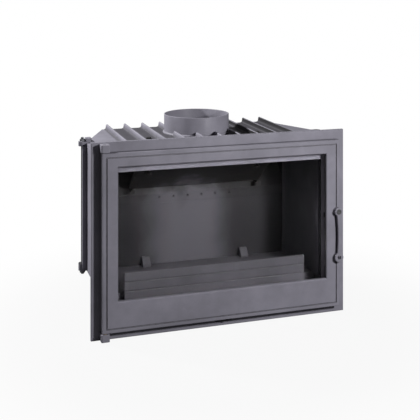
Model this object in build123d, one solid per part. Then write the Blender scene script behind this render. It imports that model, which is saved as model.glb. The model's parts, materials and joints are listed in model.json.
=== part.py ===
"""Cast-iron fireplace insert with a side-hung glazed door, a ribbed top and a round flue collar.

Millimetres. +X is to the right of someone facing the fire, +Y goes back into the chimney and
+Z is up. The origin is the middle of the front frame's bottom edge, halfway through its thickness.
Depths named "..._back" count backwards from the front frame's face.
"""
from build123d import *
from math import atan, cos, degrees, radians, sin, tan
import os

# ---------------------------------------------------------------- driving dimensions

# clearances
hole_play = 0.15
press_play = 0.02
loose_play = 0.3
seat_gap = 0.3
fit_gap = 0.5

# front frame
frame_w = 700.0
frame_h = 500.0
frame_t = 10.0
frame_round = 2.5
frame_skin = 2.0
opening_side_margin = 67.0
opening_low = 41.0
opening_top_margin = 78.0

# door
door_side_margin = 24.0
door_low_margin = 25.0
door_top_margin = 24.0
door_proud = 27.0
door_air = 3.0
door_face_t = 9.0
door_round = 2.5
door_mouth_bevel = 2.5
stile_w = 40.5
top_rail_w = 36.0
bottom_rail_w = 78.0
rim_t = 5.0
boss_set_in = 2.0
bead_w = 9.0
groove_w = 4.0
groove_deep = 3.0
glass_t = 4.0
glass_lap = 5.5
gasket_t = 1.5
gasket_w = 5.0
clip_t = 1.5
clip_w = 14.0
clip_lap = 6.8
clip_tail = 3.8
clip_screw_r = 2.0
clip_screw_deep = 5.5
clip_head_r = 3.6
clip_head_h = 2.4
clip_boss_r = 4.5
clip_boss_gap = 0.2
rope_w = 8.0
rope_in = 16.0
rope_low_in = 6.5
rope_high_in = 11.5
rope_sink = 4.0
rope_bed_deep = 7.0
rope_wall = 1.5
rope_round = 3.0
rope_corner = 9.0
rope_gap = 0.4
rope_side_gap = 0.1

# hinge
hinge_in = 7.5
hinge_off = 13.5
hinge_pin_r = 4.0
hinge_play = 0.06
bracket_w = 22.0
bracket_h = 19.0
bracket_gap = 2.0
bracket_shift = 1.0
bracket_round = 4.0
bracket_skin = 1.0
hinge_bolt_r = 2.1
hinge_bolt_deep = 6.5
hinge_head_r = 3.6
hinge_head_h = 3.0
hinge_bolt_pitch = 11.0
hinge_bolt_shift = 1.0
washer_t = 1.5
washer_gap = 0.1
washer_r = 7.5
hinge_boss_h = 24.0
hinge_bore_skin = 4.0
pin_bevel = 0.6
pin_end_gap = 2.0

# latch
latch_in = 9.0
latch_z = 284.0
shaft_r = 4.0
shaft_play = 0.06
lever_reach = 124.0
lever_hub_r = 11.0
lever_hub_t = 12.0
lever_arm_w = 12.0
lever_arm_t = 8.0
lever_eye_r = 12.5
lever_eye_hole_r = 5.5
lever_round = 1.5
lever_bow = 4.5
lever_eye_shift = 1.5
latch_washer_t = 1.2
latch_washer_r = 9.0
latch_washer_gap = 0.1
latch_boss_half = 16.0
cap_r = 7.0
cap_t = 1.5
cap_socket = 6.0
cap_socket_deep = 1.2
latch_nut_af = 12.0
tongue_reach = 30.0
tongue_hub_r = 6.2
tongue_gap = 0.4
tongue_w = 10.0
tongue_t = 5.0
tongue_round = 3.0
keeper_t = 2.0
keeper_up = 18.0
keeper_down = 22.0
slot_half = 6.5
slot_spare = 3.0

# shell
shell_side_margin = 15.0
shell_wall = 8.0
knee_back = 165.0
shell_back = 361.0
shell_narrowing = 79.0
shell_low = 129.0
shell_drop = 28.0
plate_t = 8.0
front_flange = 12.0
rear_flange = 24.0
fin_out = 12.0
fin_t = 8.0
fin_ahead = 15.0
side_rib_h = 10.0
side_rib_t = 6.0
side_rib_pitch = 46.0
side_rib_spare = 0.2
back_rib_h = 8.0
back_rib_t = 6.0
back_bevel = 2.0
back_bolt_in = 14.4

# ribs on the top plate
rib_count = 10
rib_pitch = 53.4
rib_h = 14.0
rib_half = 4.0
rib_root_r = 5.0
rib_tip_share = 0.75
rib_sink = 1.0
rib_overhang = 4.0

# tie rods and their ears
ear_out = 10.0
ear_r = 11.0
ear_up = 4.0
ear_low_h = 19.0
ear_root = 20.0
ear_block_in = 13.0
ear_block_out = 8.0
ear_block_round = 2.0
ear_block_up = 13.0
rod_r = 4.0
rod_low_stub = 10.0
rod_high_stub = 11.0
rod_head_r = 8.0
rod_head_h = 3.6
nut_af = 13.0
nut_h = 6.5

# flue collar
flue_bore_r = 90.2
flue_wall = 3.8
flue_h = 53.0
flue_room = 116.0
flue_foot = 4.0
flue_foot_h = 5.0
flue_foot_bevel = 3.0
flue_rim_round = 1.2
flue_stop_r = 75.0
flue_stop_t = 6.0
collar_bolt_r = 3.0
collar_bolt_count = 4
collar_head_r = 5.5
collar_head_h = 2.5

# base casing and hearth
base_side_in = 37.0
base_rim = 3.0
base_behind_fireback = 23.0
base_wall = 5.0
shelf_top = 42.0
shelf_t = 5.0
shelf_hole_count = 7
shelf_hole_pitch = 60.0
shelf_hole_w = 36.0
shelf_hole_d = 12.0
shelf_hole_in = 28.0
ledge_w = 12.0
ledge_front_back = 40.0
ledge_rear_in = 60.0
hearth_top = 92.0
hearth_t = 8.0
trough_top = 75.0
trough_t = 5.0
trough_back = 66.0
riser_t = 6.0
air_hole_count = 7
air_hole_pitch = 70.0
air_hole_w = 44.0
air_hole_d = 3.5
pan_half = 115.0
pan_rear_in = 53.0
pan_wall = 1.5
pan_clear = 2.0
pan_set_back = 1.0
pull_w = 60.0
pull_reach = 14.0
pull_t = 5.0
pull_h = 8.0
pull_round = 4.0
grate_w = 246.0
grate_d = 106.0
grate_back = 100.0
grate_ledge = 7.0
grate_slots = 10
grate_slot_w = 9.0
grate_rim = 12.0
grate_end = 15.0

# firebox
liner_set_back = 3.0
liner_front_back = 30.0
liner_rear_gap = 6.9
liner_ahead = 7.0
liner_t = 6.0
liner_down = 12.0
liner_edge_w = 12.0
liner_edge_t = 3.0
liner_edge_slope = 2.0
fireback_gap = 1.0
fireback_room = 96.0
fireback_t = 12.0
fireback_bevel = 2.0
panel_low = 268.0
panel_high = 294.0
panel_t = 4.0
hole_count = 6
hole_pitch = 42.4
hole_r = 3.3
hole_z = 284.0
lug_half = 148.0
lug_w = 24.0
lug_h = 26.0
lug_d = 22.0
lug_crown = 7.0
lug_toe = 8.0
wall_gap = 1.0
baffle_half = 198.0
baffle_t = 8.0
baffle_up = 28.0
baffle_ahead = 3.0
baffle_run = 107.0
baffle_down = 56.0
hook_in = 8.0
hook_reach = 20.0
hook_root_t = 3.0
hook_root_gap = 0.2
knob_r = 7.0
knob_t = 5.0
hanger_valley = 3
hanger_in = 16.0
hanger_play = 1.5
hanger_foot_r = 9.0
hanger_foot_t = 4.0
hanger_head_r = 7.0
hanger_head_t = 4.0
throat_t = 6.0
throat_down = 24.0

# log guard
guard_side_gap = 32.0
guard_back = 49.0
guard_band = 24.0
guard_bands = 3
guard_t = 10.0
guard_groove_w = 4.0
guard_groove_d = 3.2
guard_foot_in = 60.0
guard_foot_w = 12.0

# air slider
air_slot_half = 22.0
air_slot_low = 11.0
air_slot_h = 7.0
slider_half = 85.0
slider_t = 3.0
slider_gap = 0.3
slider_h = 15.0
slider_lap = 3.0
guide_t = 2.7
tab_half = 5.0
tab_proud = 8.0
tab_play = 1.0
tab_round = 1.0
guide_half = 62.0
guide_w = 12.0
guide_lip = 2.0
guide_play = 0.4

# frame fixings
bolt_r = 3.0
bolt_af = 10.0
bolt_head = 4.0
bolt_nut = 5.0
bolt_end = 7.0
bolt_clear = 8.0
flange_bolt_rows = 3
flange_bolt_in = 38.5
base_bolt_z = (24.0, 112.0)

# ---------------------------------------------------------------- places worked out from them

front_y = -frame_t / 2
frame_back_y = frame_t / 2


def back(depth):
    """Y of a place that lies this far behind the front frame's face."""
    return front_y + depth


def spread(count, pitch):
    """Evenly spaced places, centred on the middle plane."""
    return [pitch * (i - (count - 1) / 2) for i in range(count)]


opening_half = frame_w / 2 - opening_side_margin
opening_high = frame_h - opening_top_margin
door_half = frame_w / 2 - door_side_margin
door_low = door_low_margin
door_high = frame_h - door_top_margin
door_front_y = back(-door_proud)
door_rim_y = back(-door_air)
door_inner_y = door_front_y + door_face_t
glass_half = door_half - stile_w + glass_lap
glass_low = door_low + bottom_rail_w - glass_lap
glass_high = door_high - top_rail_w + glass_lap
glass_front_y = door_inner_y + gasket_t
glass_back_y = glass_front_y + glass_t
rope_half = door_half - rope_in
channel_half = rope_half + rope_wall
rope_low = door_low + rope_low_in
rope_high = door_high - rope_high_in
rope_bed_y = door_inner_y + rope_bed_deep
hinge_x = -door_half + hinge_in
hinge_y = door_rim_y - hinge_off
latch_x = door_half - latch_in
bracket_high_z = door_high + bracket_gap
bracket_low_z = door_low - washer_gap - washer_t - bracket_h
hub_back_y = door_front_y - latch_washer_t
hub_front_y = hub_back_y - lever_hub_t
tongue_front_y = frame_back_y + keeper_t + tongue_gap
tongue_back_y = tongue_front_y + tongue_t
air_slot_high = air_slot_low + air_slot_h
slider_low = (air_slot_low + air_slot_high - slider_h) / 2

shell_half = frame_w / 2 - shell_side_margin
shell_rear_half = shell_half - shell_narrowing
shell_high = frame_h - shell_drop
taper = shell_narrowing / (shell_back - knee_back)
taper_angle = atan(taper)
shell_top_z = shell_high - plate_t
shell_floor_z = shell_low + plate_t
shell_rear_y = back(shell_back)
back_plate_y = shell_rear_y - shell_wall
flue_y = shell_rear_y - flue_room
fin_half = shell_half + fin_out
fin_y = back(knee_back) - fin_ahead
ear_half = shell_half + ear_out
ear_y = back(knee_back)
ear_top = shell_high + ear_up
ear_block_top = shell_high + ear_block_up
flange_bolt_zs = [(shell_floor_z + shell_top_z) / 2 + dz for dz in spread(
    flange_bolt_rows, (shell_top_z - shell_floor_z - 2 * flange_bolt_in) / (flange_bolt_rows - 1))]
fireback_y = shell_rear_y - fireback_room
base_half = shell_half - base_side_in
base_rear_y = fireback_y + base_behind_fireback
rib_xs = spread(rib_count, rib_pitch)
stop_top = shell_high + flue_stop_t
collar_outer_r = flue_bore_r + flue_wall
lining = base_wall + fit_gap / 2
hearth_mid = hearth_top - hearth_t / 2
pan_front_y = frame_back_y + pan_set_back
throat_rear_y = back_plate_y - shell_wall - bolt_clear
throat_top = shell_top_z - throat_down
throat_lean = atan((throat_rear_y - fireback_y) / (throat_top - panel_high))
baffle_low = panel_high + baffle_up
baffle_high = shell_top_z - baffle_down
baffle_low_y = fireback_y - baffle_ahead
baffle_high_y = baffle_low_y - baffle_run
baffle_slope = atan((baffle_high - baffle_low) / baffle_run)
hook_half = baffle_half - hook_in
hook_z = baffle_low - baffle_t * cos(baffle_slope) - rod_r - fit_gap
hanger_half = hanger_valley * rib_pitch
hanger_y = baffle_high_y + hanger_in
liner_high = shell_top_z - liner_down
liner_front_half = opening_half + liner_set_back
liner_rear_y = fireback_y - liner_ahead
guard_half = liner_front_half - guard_side_gap


def shell_x(y, inset=0.0):
    """Half width of the shell at this Y, measured inset from its outer face."""
    if y <= back(knee_back):
        return shell_half - inset
    return shell_half - taper * (y - back(knee_back)) - inset / cos(taper_angle)


back_bolt_x = shell_x(back_plate_y) - back_bolt_in
liner_rear_half = shell_x(liner_rear_y, shell_wall) - liner_t - liner_rear_gap
fireback_half = liner_rear_half - fireback_gap

# ---------------------------------------------------------------- helpers

def block(x0, x1, y0, y1, z0, z1):
    """Box between two corners."""
    return Pos((x0 + x1) / 2, (y0 + y1) / 2, (z0 + z1) / 2) * Box(abs(x1 - x0), abs(y1 - y0), abs(z1 - z0))


def rod_z(x, y, z0, z1, r):
    """Round bar along Z."""
    return Pos(x, y, (z0 + z1) / 2) * Cylinder(r, z1 - z0)


def rod_y(x, z, y0, y1, r):
    """Round bar along Y."""
    return Pos(x, (y0 + y1) / 2, z) * Rot(90, 0, 0) * Cylinder(r, y1 - y0)


def tube_z(x, y, z0, z1, r, bore_r):
    """Round tube along Z."""
    return rod_z(x, y, z0, z1, r) - rod_z(x, y, z0, z1, bore_r)


def cone_z(x, y, z0, z1, r0, r1):
    """Cone along Z from radius r0 up to radius r1."""
    return Pos(x, y, (z0 + z1) / 2) * Cone(r0, r1, z1 - z0)


def prism_z(points, z0, z1):
    """Straight prism on an XY outline."""
    face = make_face(Polyline(*points, close=True))
    return Pos(0, 0, z0) * extrude(face, amount=z1 - z0)


def prism_x(points, x0, x1):
    """Straight prism on a YZ outline."""
    face = make_face(Polyline(*[(0, y, z) for y, z in points], close=True))
    return Pos(x0, 0, 0) * extrude(face, amount=x1 - x0, dir=(1, 0, 0))


def hex_y(x, z, y0, y1, across):
    """Hexagon bar along Y."""
    outline = Plane.XZ * RegularPolygon(across / 2, 6, major_radius=False)
    return Pos(x, y0, z) * extrude(outline, amount=y0 - y1)


def hex_z(x, y, z0, z1, across):
    """Hexagon bar along Z."""
    return Pos(x, y, z0) * extrude(RegularPolygon(across / 2, 6, major_radius=False), amount=z1 - z0)


def mirrored(shape):
    """The same shape on the other side of the middle plane."""
    return mirror(shape, about=Plane.YZ)


def both(shape):
    """A shape and its mirror image as separate solids."""
    return [shape, mirrored(shape)]


def ring_y(half, low, high, width, y0, y1, corner):
    """Rectangular ring in the XZ plane with rounded corners, width measured inwards."""
    mid = (low + high) / 2
    outer = Pos(0, 0, mid) * (Plane.XZ * RectangleRounded(2 * half, high - low, corner))
    inner = Pos(0, 0, mid) * (
        Plane.XZ * RectangleRounded(2 * (half - width), high - low - 2 * width, max(corner - width, 0.5))
    )
    return Pos(0, y0, 0) * extrude(outer - inner, amount=y1 - y0, dir=(0, 1, 0))


def save(name, *shapes):
    """Write one sub-part, as one solid or as a group of separate solids."""
    solids = [s for shape in shapes for s in shape.solids()]
    whole = solids[0] if len(solids) == 1 else Compound(children=solids)
    export_step(whole, f"parts/{name}.step")


# ---------------------------------------------------------------- front frame and air slider

def front_frame():
    """Flat cast frame with the fire opening, the latch slot and the air slot."""
    plate = block(-frame_w / 2, frame_w / 2, front_y, frame_back_y, 0, frame_h)
    plate = fillet(plate.faces().sort_by(Axis.Y)[0].edges(), frame_round)
    plate -= block(-opening_half, opening_half, front_y, frame_back_y, opening_low, opening_high)
    slot_foot = latch_z - tongue_reach - slot_spare
    plate -= block(latch_x - slot_half, latch_x + slot_half, front_y, frame_back_y, slot_foot, latch_z)
    plate -= rod_y(latch_x, latch_z, front_y, frame_back_y, slot_half)
    plate -= block(-air_slot_half, air_slot_half, front_y, frame_back_y, air_slot_low, air_slot_high)
    for x, z in frame_bolt_places():
        plate -= rod_y(x, z, back(frame_skin), frame_back_y, bolt_r + hole_play)
    for x, z in hinge_bolt_places():
        plate -= rod_y(x, z, front_y, frame_back_y, hinge_bolt_r + hole_play)
    return plate


def frame_bolt_places():
    """X and Z of the bolts that hold the shell and the base to the frame."""
    side = shell_half + front_flange / 2
    foot = base_half + front_flange / 2
    right = [(side, z) for z in flange_bolt_zs] + [(foot, z) for z in base_bolt_z]
    return right + [(-x, z) for x, z in right]


def frame_bolts():
    """Bolts from behind, through the flanges into blind holes in the frame."""
    bolts = []
    for x, z in frame_bolt_places():
        flange_back = frame_back_y + (shell_wall if z > shell_low else base_wall)
        bolt = rod_y(x, z, back(frame_skin + fit_gap), flange_back, bolt_r)
        bolts.append(bolt + hex_y(x, z, flange_back, flange_back + bolt_head, bolt_af))
    return bolts


def air_slider():
    """Flat shutter behind the frame with a tab through the slot."""
    y0 = frame_back_y + slider_gap
    y1 = y0 + slider_t
    slider = block(-slider_half, slider_half, y0, y1, slider_low, slider_low + slider_h)
    for side in (-1, 1):
        slider -= block(side * (air_slot_half + slider_lap), side * (2 * air_slot_half), y0, y1,
                        air_slot_low, air_slot_high)
    tab = block(-tab_half, tab_half, front_y - tab_proud, y0,
                air_slot_low + tab_play, air_slot_high - tab_play)
    tab = fillet(tab.faces().sort_by(Axis.Y)[0].edges(), tab_round)
    return slider + tab


def slider_guides():
    """Two channels that hold the slider against the frame."""
    y1 = frame_back_y + slider_t + 2 * slider_gap
    top = slider_low + slider_h
    guide = block(guide_half - guide_w / 2, guide_half + guide_w / 2, frame_back_y, y1 + guide_t,
                  slider_low - guide_lip, top + guide_lip)
    guide -= block(0, slider_half, frame_back_y, y1, slider_low - guide_play, top + guide_play)
    return both(guide)


# ---------------------------------------------------------------- door

def door_frame():
    """Cast door: face, hollow back with a rim, rope channel, clip bosses, hinge and latch bosses."""
    door = block(-door_half, door_half, door_front_y, door_rim_y, door_low, door_high)
    door = fillet(door.faces().sort_by(Axis.Y)[0].edges(), door_round)
    door -= block(-door_half + rim_t, door_half - rim_t, door_inner_y, door_rim_y,
                  door_low + rim_t, door_high - rim_t)
    channel_y = rope_bed_y + rope_sink
    channel = ring_y(channel_half, rope_low - rope_wall, rope_high + rope_wall, rope_w + 2 * rope_wall,
                     door_inner_y, channel_y, rope_corner + rope_wall)
    door += channel - ring_y(rope_half, rope_low, rope_high, rope_w, rope_bed_y, channel_y, rope_corner)
    for x, z in clip_places():
        door += rod_y(x, z, door_inner_y, glass_back_y, clip_boss_r)
    for z0, z1 in ((door_low, door_low + hinge_boss_h), (door_high - hinge_boss_h, door_high)):
        door += block(-door_half + boss_set_in, -channel_half, door_inner_y, door_rim_y,
                      z0 + boss_set_in, z1 - boss_set_in)
    door += block(channel_half, door_half - boss_set_in, door_inner_y, door_rim_y,
                  latch_z - latch_boss_half, latch_z + latch_boss_half)
    door -= block(-glass_half - fit_gap, glass_half + fit_gap, door_inner_y, door_rim_y,
                  glass_low - fit_gap, glass_high + fit_gap)
    window_half = door_half - stile_w
    door -= block(-window_half, window_half, door_front_y, door_inner_y,
                  door_low + bottom_rail_w, door_high - top_rail_w)
    door = chamfer(door.faces().sort_by(Axis.Y)[0].inner_wires()[0].edges(), door_mouth_bevel)
    door -= ring_y(door_half - bead_w, door_low + bead_w, door_high - bead_w, groove_w, door_front_y,
                   door_front_y + groove_deep, groove_w / 2)
    for x, z in clip_places():
        door -= rod_y(x, z, glass_back_y - clip_screw_deep - fit_gap, glass_back_y, clip_screw_r + hole_play)
    bore_r = hinge_pin_r + hinge_play
    door -= rod_z(hinge_x, hinge_y, door_low, door_low + hinge_boss_h - hinge_bore_skin, bore_r)
    door -= rod_z(hinge_x, hinge_y, door_high - hinge_boss_h + hinge_bore_skin, door_high, bore_r)
    door -= rod_y(latch_x, latch_z, door_front_y, door_rim_y, shaft_r + shaft_play)
    return door


def clip_places():
    """X and Z of the screws that hold the glass clips."""
    out = clip_boss_r + fit_gap + clip_boss_gap
    places = [(side * glass_half / 2, z) for z in (glass_low - out, glass_high + out) for side in (-1, 1)]
    return places + [(side * (glass_half + out), (glass_low + glass_high) / 2) for side in (-1, 1)]


def door_glass():
    """Ceramic pane behind the door's face."""
    return block(-glass_half, glass_half, glass_front_y, glass_back_y, glass_low, glass_high)


def glass_gasket():
    """Flat fibre tape between the pane and the door."""
    return ring_y(glass_half, glass_low, glass_high, gasket_w, door_inner_y, glass_front_y, 1)


def glass_clips():
    """Steel tongues that press the pane forwards."""
    clips = []
    near, far = clip_tail, clip_boss_r + fit_gap + clip_lap
    for x, z in clip_places():
        if abs(x) > glass_half:
            inwards = -1 if x > 0 else 1
            clip = block(x - inwards * near, x + inwards * far, glass_back_y, glass_back_y + clip_t,
                         z - clip_w / 2, z + clip_w / 2)
        else:
            inwards = -1 if z > glass_high else 1
            clip = block(x - clip_w / 2, x + clip_w / 2, glass_back_y, glass_back_y + clip_t,
                         z - inwards * near, z + inwards * far)
        clips.append(clip - rod_y(x, z, glass_back_y, glass_back_y + clip_t, clip_screw_r + hole_play))
    return clips


def clip_screws():
    """Pan-head screws of the glass clips."""
    head_y = glass_back_y + clip_t
    return [rod_y(x, z, glass_back_y - clip_screw_deep, head_y, clip_screw_r)
            + rod_y(x, z, head_y, head_y + clip_head_h, clip_head_r) for x, z in clip_places()]


def door_rope():
    """Round-cornered glass-fibre rope that seals the door on the frame."""
    side = rope_side_gap
    rope = ring_y(rope_half - side, rope_low + side, rope_high - side, rope_w - 2 * side, rope_bed_y,
                  front_y - rope_gap, rope_corner)
    return fillet(rope.faces().sort_by(Axis.Y)[-1].edges(), rope_round)


# ---------------------------------------------------------------- hinges

def hinge_bolt_places():
    """X and Z of the screws that hold the hinge brackets from behind the frame."""
    middle = hinge_x - hinge_bolt_shift
    return [(middle + side * hinge_bolt_pitch / 2, z + bracket_h / 2)
            for z in (bracket_low_z, bracket_high_z) for side in (-1, 1)]


def hinge_bracket(z0):
    """Block on the frame that carries a hinge pin."""
    x0 = hinge_x + bracket_shift - bracket_w / 2
    shape = block(x0, x0 + bracket_w, door_front_y, front_y, z0, z0 + bracket_h)
    shape = fillet(shape.edges().filter_by(Axis.Z).sort_by(Axis.Y)[:2], bracket_round)
    shape -= rod_z(hinge_x, hinge_y, z0, z0 + bracket_h, hinge_pin_r + press_play)
    for x, z in hinge_bolt_places():
        shape -= rod_y(x, z, front_y - hinge_bolt_deep - fit_gap, front_y, hinge_bolt_r + press_play)
    return shape


def hinge_pin(z0, z1):
    """Plain pin with a small chamfer at each end."""
    pin = rod_z(hinge_x, hinge_y, z0, z1, hinge_pin_r)
    return chamfer(pin.edges().filter_by(GeomType.CIRCLE), pin_bevel)


def hinge_pins():
    """Upper and lower pin, each from its bracket into the door's bore."""
    reach = hinge_boss_h - hinge_bore_skin - pin_end_gap
    upper = hinge_pin(door_high - reach, bracket_high_z + bracket_h - bracket_skin)
    lower = hinge_pin(bracket_low_z + bracket_skin, door_low + reach)
    return upper, lower


def hinge_washer():
    """Brass washer between the lower bracket and the door."""
    z1 = door_low - washer_gap
    return tube_z(hinge_x, hinge_y, z1 - washer_t, z1, washer_r, hinge_pin_r + loose_play)


def hinge_bolts():
    """Socket screws from behind the frame into the brackets."""
    return [rod_y(x, z, front_y - hinge_bolt_deep, frame_back_y, hinge_bolt_r)
            + rod_y(x, z, frame_back_y, frame_back_y + hinge_head_h, hinge_head_r)
            for x, z in hinge_bolt_places()]


# ---------------------------------------------------------------- latch

def latch_lever():
    """Hanging lever, bowed outwards, with an eye for a loose tool."""
    eye_z = latch_z - lever_reach
    eye_x = latch_x + lever_eye_shift
    bow_x = latch_x + lever_bow
    mid_z = (latch_z + eye_z) / 2
    arm_back_y = hub_front_y + lever_arm_t
    half = lever_arm_w / 2
    outline = [
        ThreePointArc((latch_x - half, 0, latch_z), (bow_x - half, 0, mid_z), (eye_x - half, 0, eye_z)),
        Line((eye_x - half, 0, eye_z), (eye_x + half, 0, eye_z)),
        ThreePointArc((eye_x + half, 0, eye_z), (bow_x + half, 0, mid_z), (latch_x + half, 0, latch_z)),
        Line((latch_x + half, 0, latch_z), (latch_x - half, 0, latch_z)),
    ]
    arm = Pos(0, hub_front_y, 0) * extrude(make_face(outline), amount=lever_arm_t, dir=(0, 1, 0))
    arm = fillet(arm.faces().sort_by(Axis.Y)[0].edges().filter_by(GeomType.CIRCLE), lever_round)
    hub = rod_y(latch_x, latch_z, hub_front_y, hub_back_y, lever_hub_r)
    hub = fillet(hub.faces().sort_by(Axis.Y)[0].edges(), lever_round)
    eye = rod_y(eye_x, eye_z, hub_front_y, arm_back_y, lever_eye_r)
    eye = fillet(eye.faces().sort_by(Axis.Y)[0].edges(), lever_round)
    lever = hub + arm + eye
    lever -= rod_y(eye_x, eye_z, hub_front_y, arm_back_y, lever_eye_hole_r)
    return lever - rod_y(latch_x, latch_z, hub_front_y, hub_back_y, shaft_r + press_play)


def latch_shaft():
    """Round shaft through the door, from the lever's face to the nut's end."""
    return rod_y(latch_x, latch_z, hub_front_y, tongue_back_y + nut_h, shaft_r)


def latch_screw():
    """Bright cap with a dark socket on the lever's hub."""
    y0 = hub_front_y - cap_t
    cap = rod_y(latch_x, latch_z, y0, hub_front_y, cap_r)
    return cap - hex_y(latch_x, latch_z, y0, y0 + cap_socket_deep, cap_socket)


def latch_washer():
    """Brass washer between lever and door."""
    y0, y1 = hub_back_y + latch_washer_gap, door_front_y - latch_washer_gap
    washer = rod_y(latch_x, latch_z, y0, y1, latch_washer_r)
    return washer - rod_y(latch_x, latch_z, y0, y1, shaft_r + loose_play)


def latch_tongue():
    """Flat tongue behind the frame."""
    half = tongue_w / 2
    tongue = block(latch_x - tongue_reach, latch_x, tongue_front_y, tongue_back_y,
                   latch_z - half, latch_z + half)
    tongue = fillet(tongue.edges().filter_by(Axis.Y).sort_by(Axis.X)[:2], tongue_round)
    tongue += rod_y(latch_x, latch_z, tongue_front_y, tongue_back_y, tongue_hub_r)
    return tongue - rod_y(latch_x, latch_z, tongue_front_y, tongue_back_y, shaft_r + press_play)


def latch_nut():
    """Nut on the shaft's rear end."""
    y1 = tongue_back_y + nut_h
    nut = hex_y(latch_x, latch_z, tongue_back_y, y1, latch_nut_af)
    return nut - rod_y(latch_x, latch_z, tongue_back_y, y1, shaft_r + press_play)


def latch_keeper():
    """Wear plate on the frame's back that the tongue slides on."""
    return block(opening_half + 2 * fit_gap, latch_x - slot_half - 2 * fit_gap, frame_back_y,
                 frame_back_y + keeper_t, latch_z - keeper_down, latch_z + keeper_up)


# ---------------------------------------------------------------- shell

def shell_outline(inset=0.0):
    """Plan of the shell, drawn in from its outer face."""
    knee = back(knee_back) - inset * tan(taper_angle / 2)
    knee_x = shell_half - inset
    rear = shell_x(shell_rear_y, inset)
    right = [(knee_x, frame_back_y), (knee_x, knee), (rear, shell_rear_y)]
    return right + [(-x, y) for x, y in reversed(right)]


def rib_section(x, z, height, half):
    """Section of one cast rib on the XZ plane, with hollow roots and a rounded crown."""
    r = rib_root_r
    foot = half + r
    tip = half * rib_tip_share
    crown = z + height - tip
    k = r * sin(radians(45))
    return make_face([
        ThreePointArc((x - foot, 0, z), (x - foot + k, 0, z + r - k), (x - half, 0, z + r)),
        Line((x - half, 0, z + r), (x - tip, 0, crown)),
        ThreePointArc((x - tip, 0, crown), (x, 0, z + height), (x + tip, 0, crown)),
        Line((x + tip, 0, crown), (x + half, 0, z + r)),
        ThreePointArc((x + half, 0, z + r), (x + foot - k, 0, z + r - k), (x + foot, 0, z)),
        Line((x + foot, 0, z), (x + foot, 0, z - rib_sink)),
        Line((x + foot, 0, z - rib_sink), (x - foot, 0, z - rib_sink)),
        Line((x - foot, 0, z - rib_sink), (x - foot, 0, z)),
    ])


def top_plate():
    """Ribbed top casting with the flue hole and two ears, the left one raised beside a lug."""
    plate = prism_z(shell_outline(), shell_top_z, shell_high)
    rib_length = shell_rear_y + rib_overhang - frame_back_y
    for x in rib_xs:
        section = rib_section(x, shell_high, rib_h, rib_half)
        plate += Pos(0, frame_back_y, 0) * extrude(section, amount=rib_length, dir=(0, 1, 0))
    y0, y1 = ear_y - ear_r, ear_y + ear_r
    lug = block(ear_block_in - shell_half, ear_block_out - ear_half, y0, y1, shell_high, ear_block_top)
    plate += fillet(lug.edges().filter_by(Axis.Z), ear_block_round)
    for side, high in ((-1, ear_top), (1, shell_high)):
        plate += rod_z(side * ear_half, ear_y, shell_top_z, high, ear_r)
        plate += block(side * (shell_half - ear_root), side * ear_half, y0, y1, shell_top_z, high)
        plate -= rod_z(side * ear_half, ear_y, shell_top_z, high, rod_r + fit_gap)
        plate -= rod_z(side * hanger_half, hanger_y, shell_top_z, shell_high, rod_r + hole_play)
    plate -= cone_z(ear_half, ear_y, shell_high - rod_head_h, shell_high, rod_r + hole_play,
                    rod_head_r + hole_play)
    plate -= rod_z(0, flue_y, shell_high, shell_high + rib_h, collar_outer_r + flue_foot + 2 * fit_gap)
    plate -= rod_z(0, flue_y, shell_top_z, shell_high, flue_stop_r)
    for x, y in collar_bolt_places():
        plate -= rod_z(x, y, shell_top_z, shell_high, collar_bolt_r + hole_play)
    return plate


def bottom_plate():
    """Lower casting of the shell: a rim round the base casing, with an ear on each side."""
    plate = prism_z(shell_outline(), shell_low, shell_floor_z)
    plate -= base_prism(base_wall, shell_low, shell_floor_z)
    ear_high = shell_low + ear_low_h
    for side in (-1, 1):
        plate += rod_z(side * ear_half, ear_y, shell_low, ear_high, ear_r)
        plate += block(side * (shell_half - fit_gap), side * ear_half, ear_y - ear_r, ear_y + ear_r,
                       shell_low, ear_high)
        plate -= rod_z(side * ear_half, ear_y, shell_low, ear_high, rod_r + fit_gap)
    return plate


def side_plate():
    """Right-hand casting: straight front, tapered rear, a fin at the knee and ribs behind it."""
    z0, z1 = shell_floor_z, shell_top_z
    w = shell_wall
    y_end = back_plate_y
    knee_in = back(knee_back) - w * tan(taper_angle / 2)
    plate = prism_z([
        (shell_half + front_flange, frame_back_y), (shell_half + front_flange, frame_back_y + w),
        (shell_half, frame_back_y + w), (shell_half, back(knee_back)), (shell_x(y_end), y_end),
        (shell_x(y_end) - rear_flange, y_end), (shell_x(y_end) - rear_flange, y_end - w),
        (shell_x(y_end - w, w), y_end - w), (shell_half - w, knee_in), (shell_half - w, frame_back_y),
    ], z0, z1)
    plate += block(shell_half - w / 2, fin_half, fin_y, fin_y + fin_t, z0, z1)
    plate -= block(ear_half - ear_r - fit_gap, fin_half + fit_gap, ear_y - ear_r - fit_gap,
                   ear_y + ear_r + fit_gap, z0, shell_low + ear_low_h + fit_gap)
    run = (y_end - back(knee_back)) / cos(taper_angle)
    for i in range(1, int(run / side_rib_pitch - side_rib_spare) + 1):
        y = back(knee_back) + i * side_rib_pitch * cos(taper_angle)
        place = Pos(shell_x(y), y, (z0 + z1) / 2) * Rot(0, 0, degrees(taper_angle))
        plate += place * Pos((side_rib_h - w / 2) / 2, 0, 0) * Box(side_rib_h + w / 2, side_rib_t, z1 - z0)
    for z in flange_bolt_zs:
        plate -= rod_y(shell_half + front_flange / 2, z, frame_back_y, frame_back_y + w, bolt_r + hole_play)
        plate -= rod_y(back_bolt_x, z, y_end - w, y_end, bolt_r + hole_play)
    return plate


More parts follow.
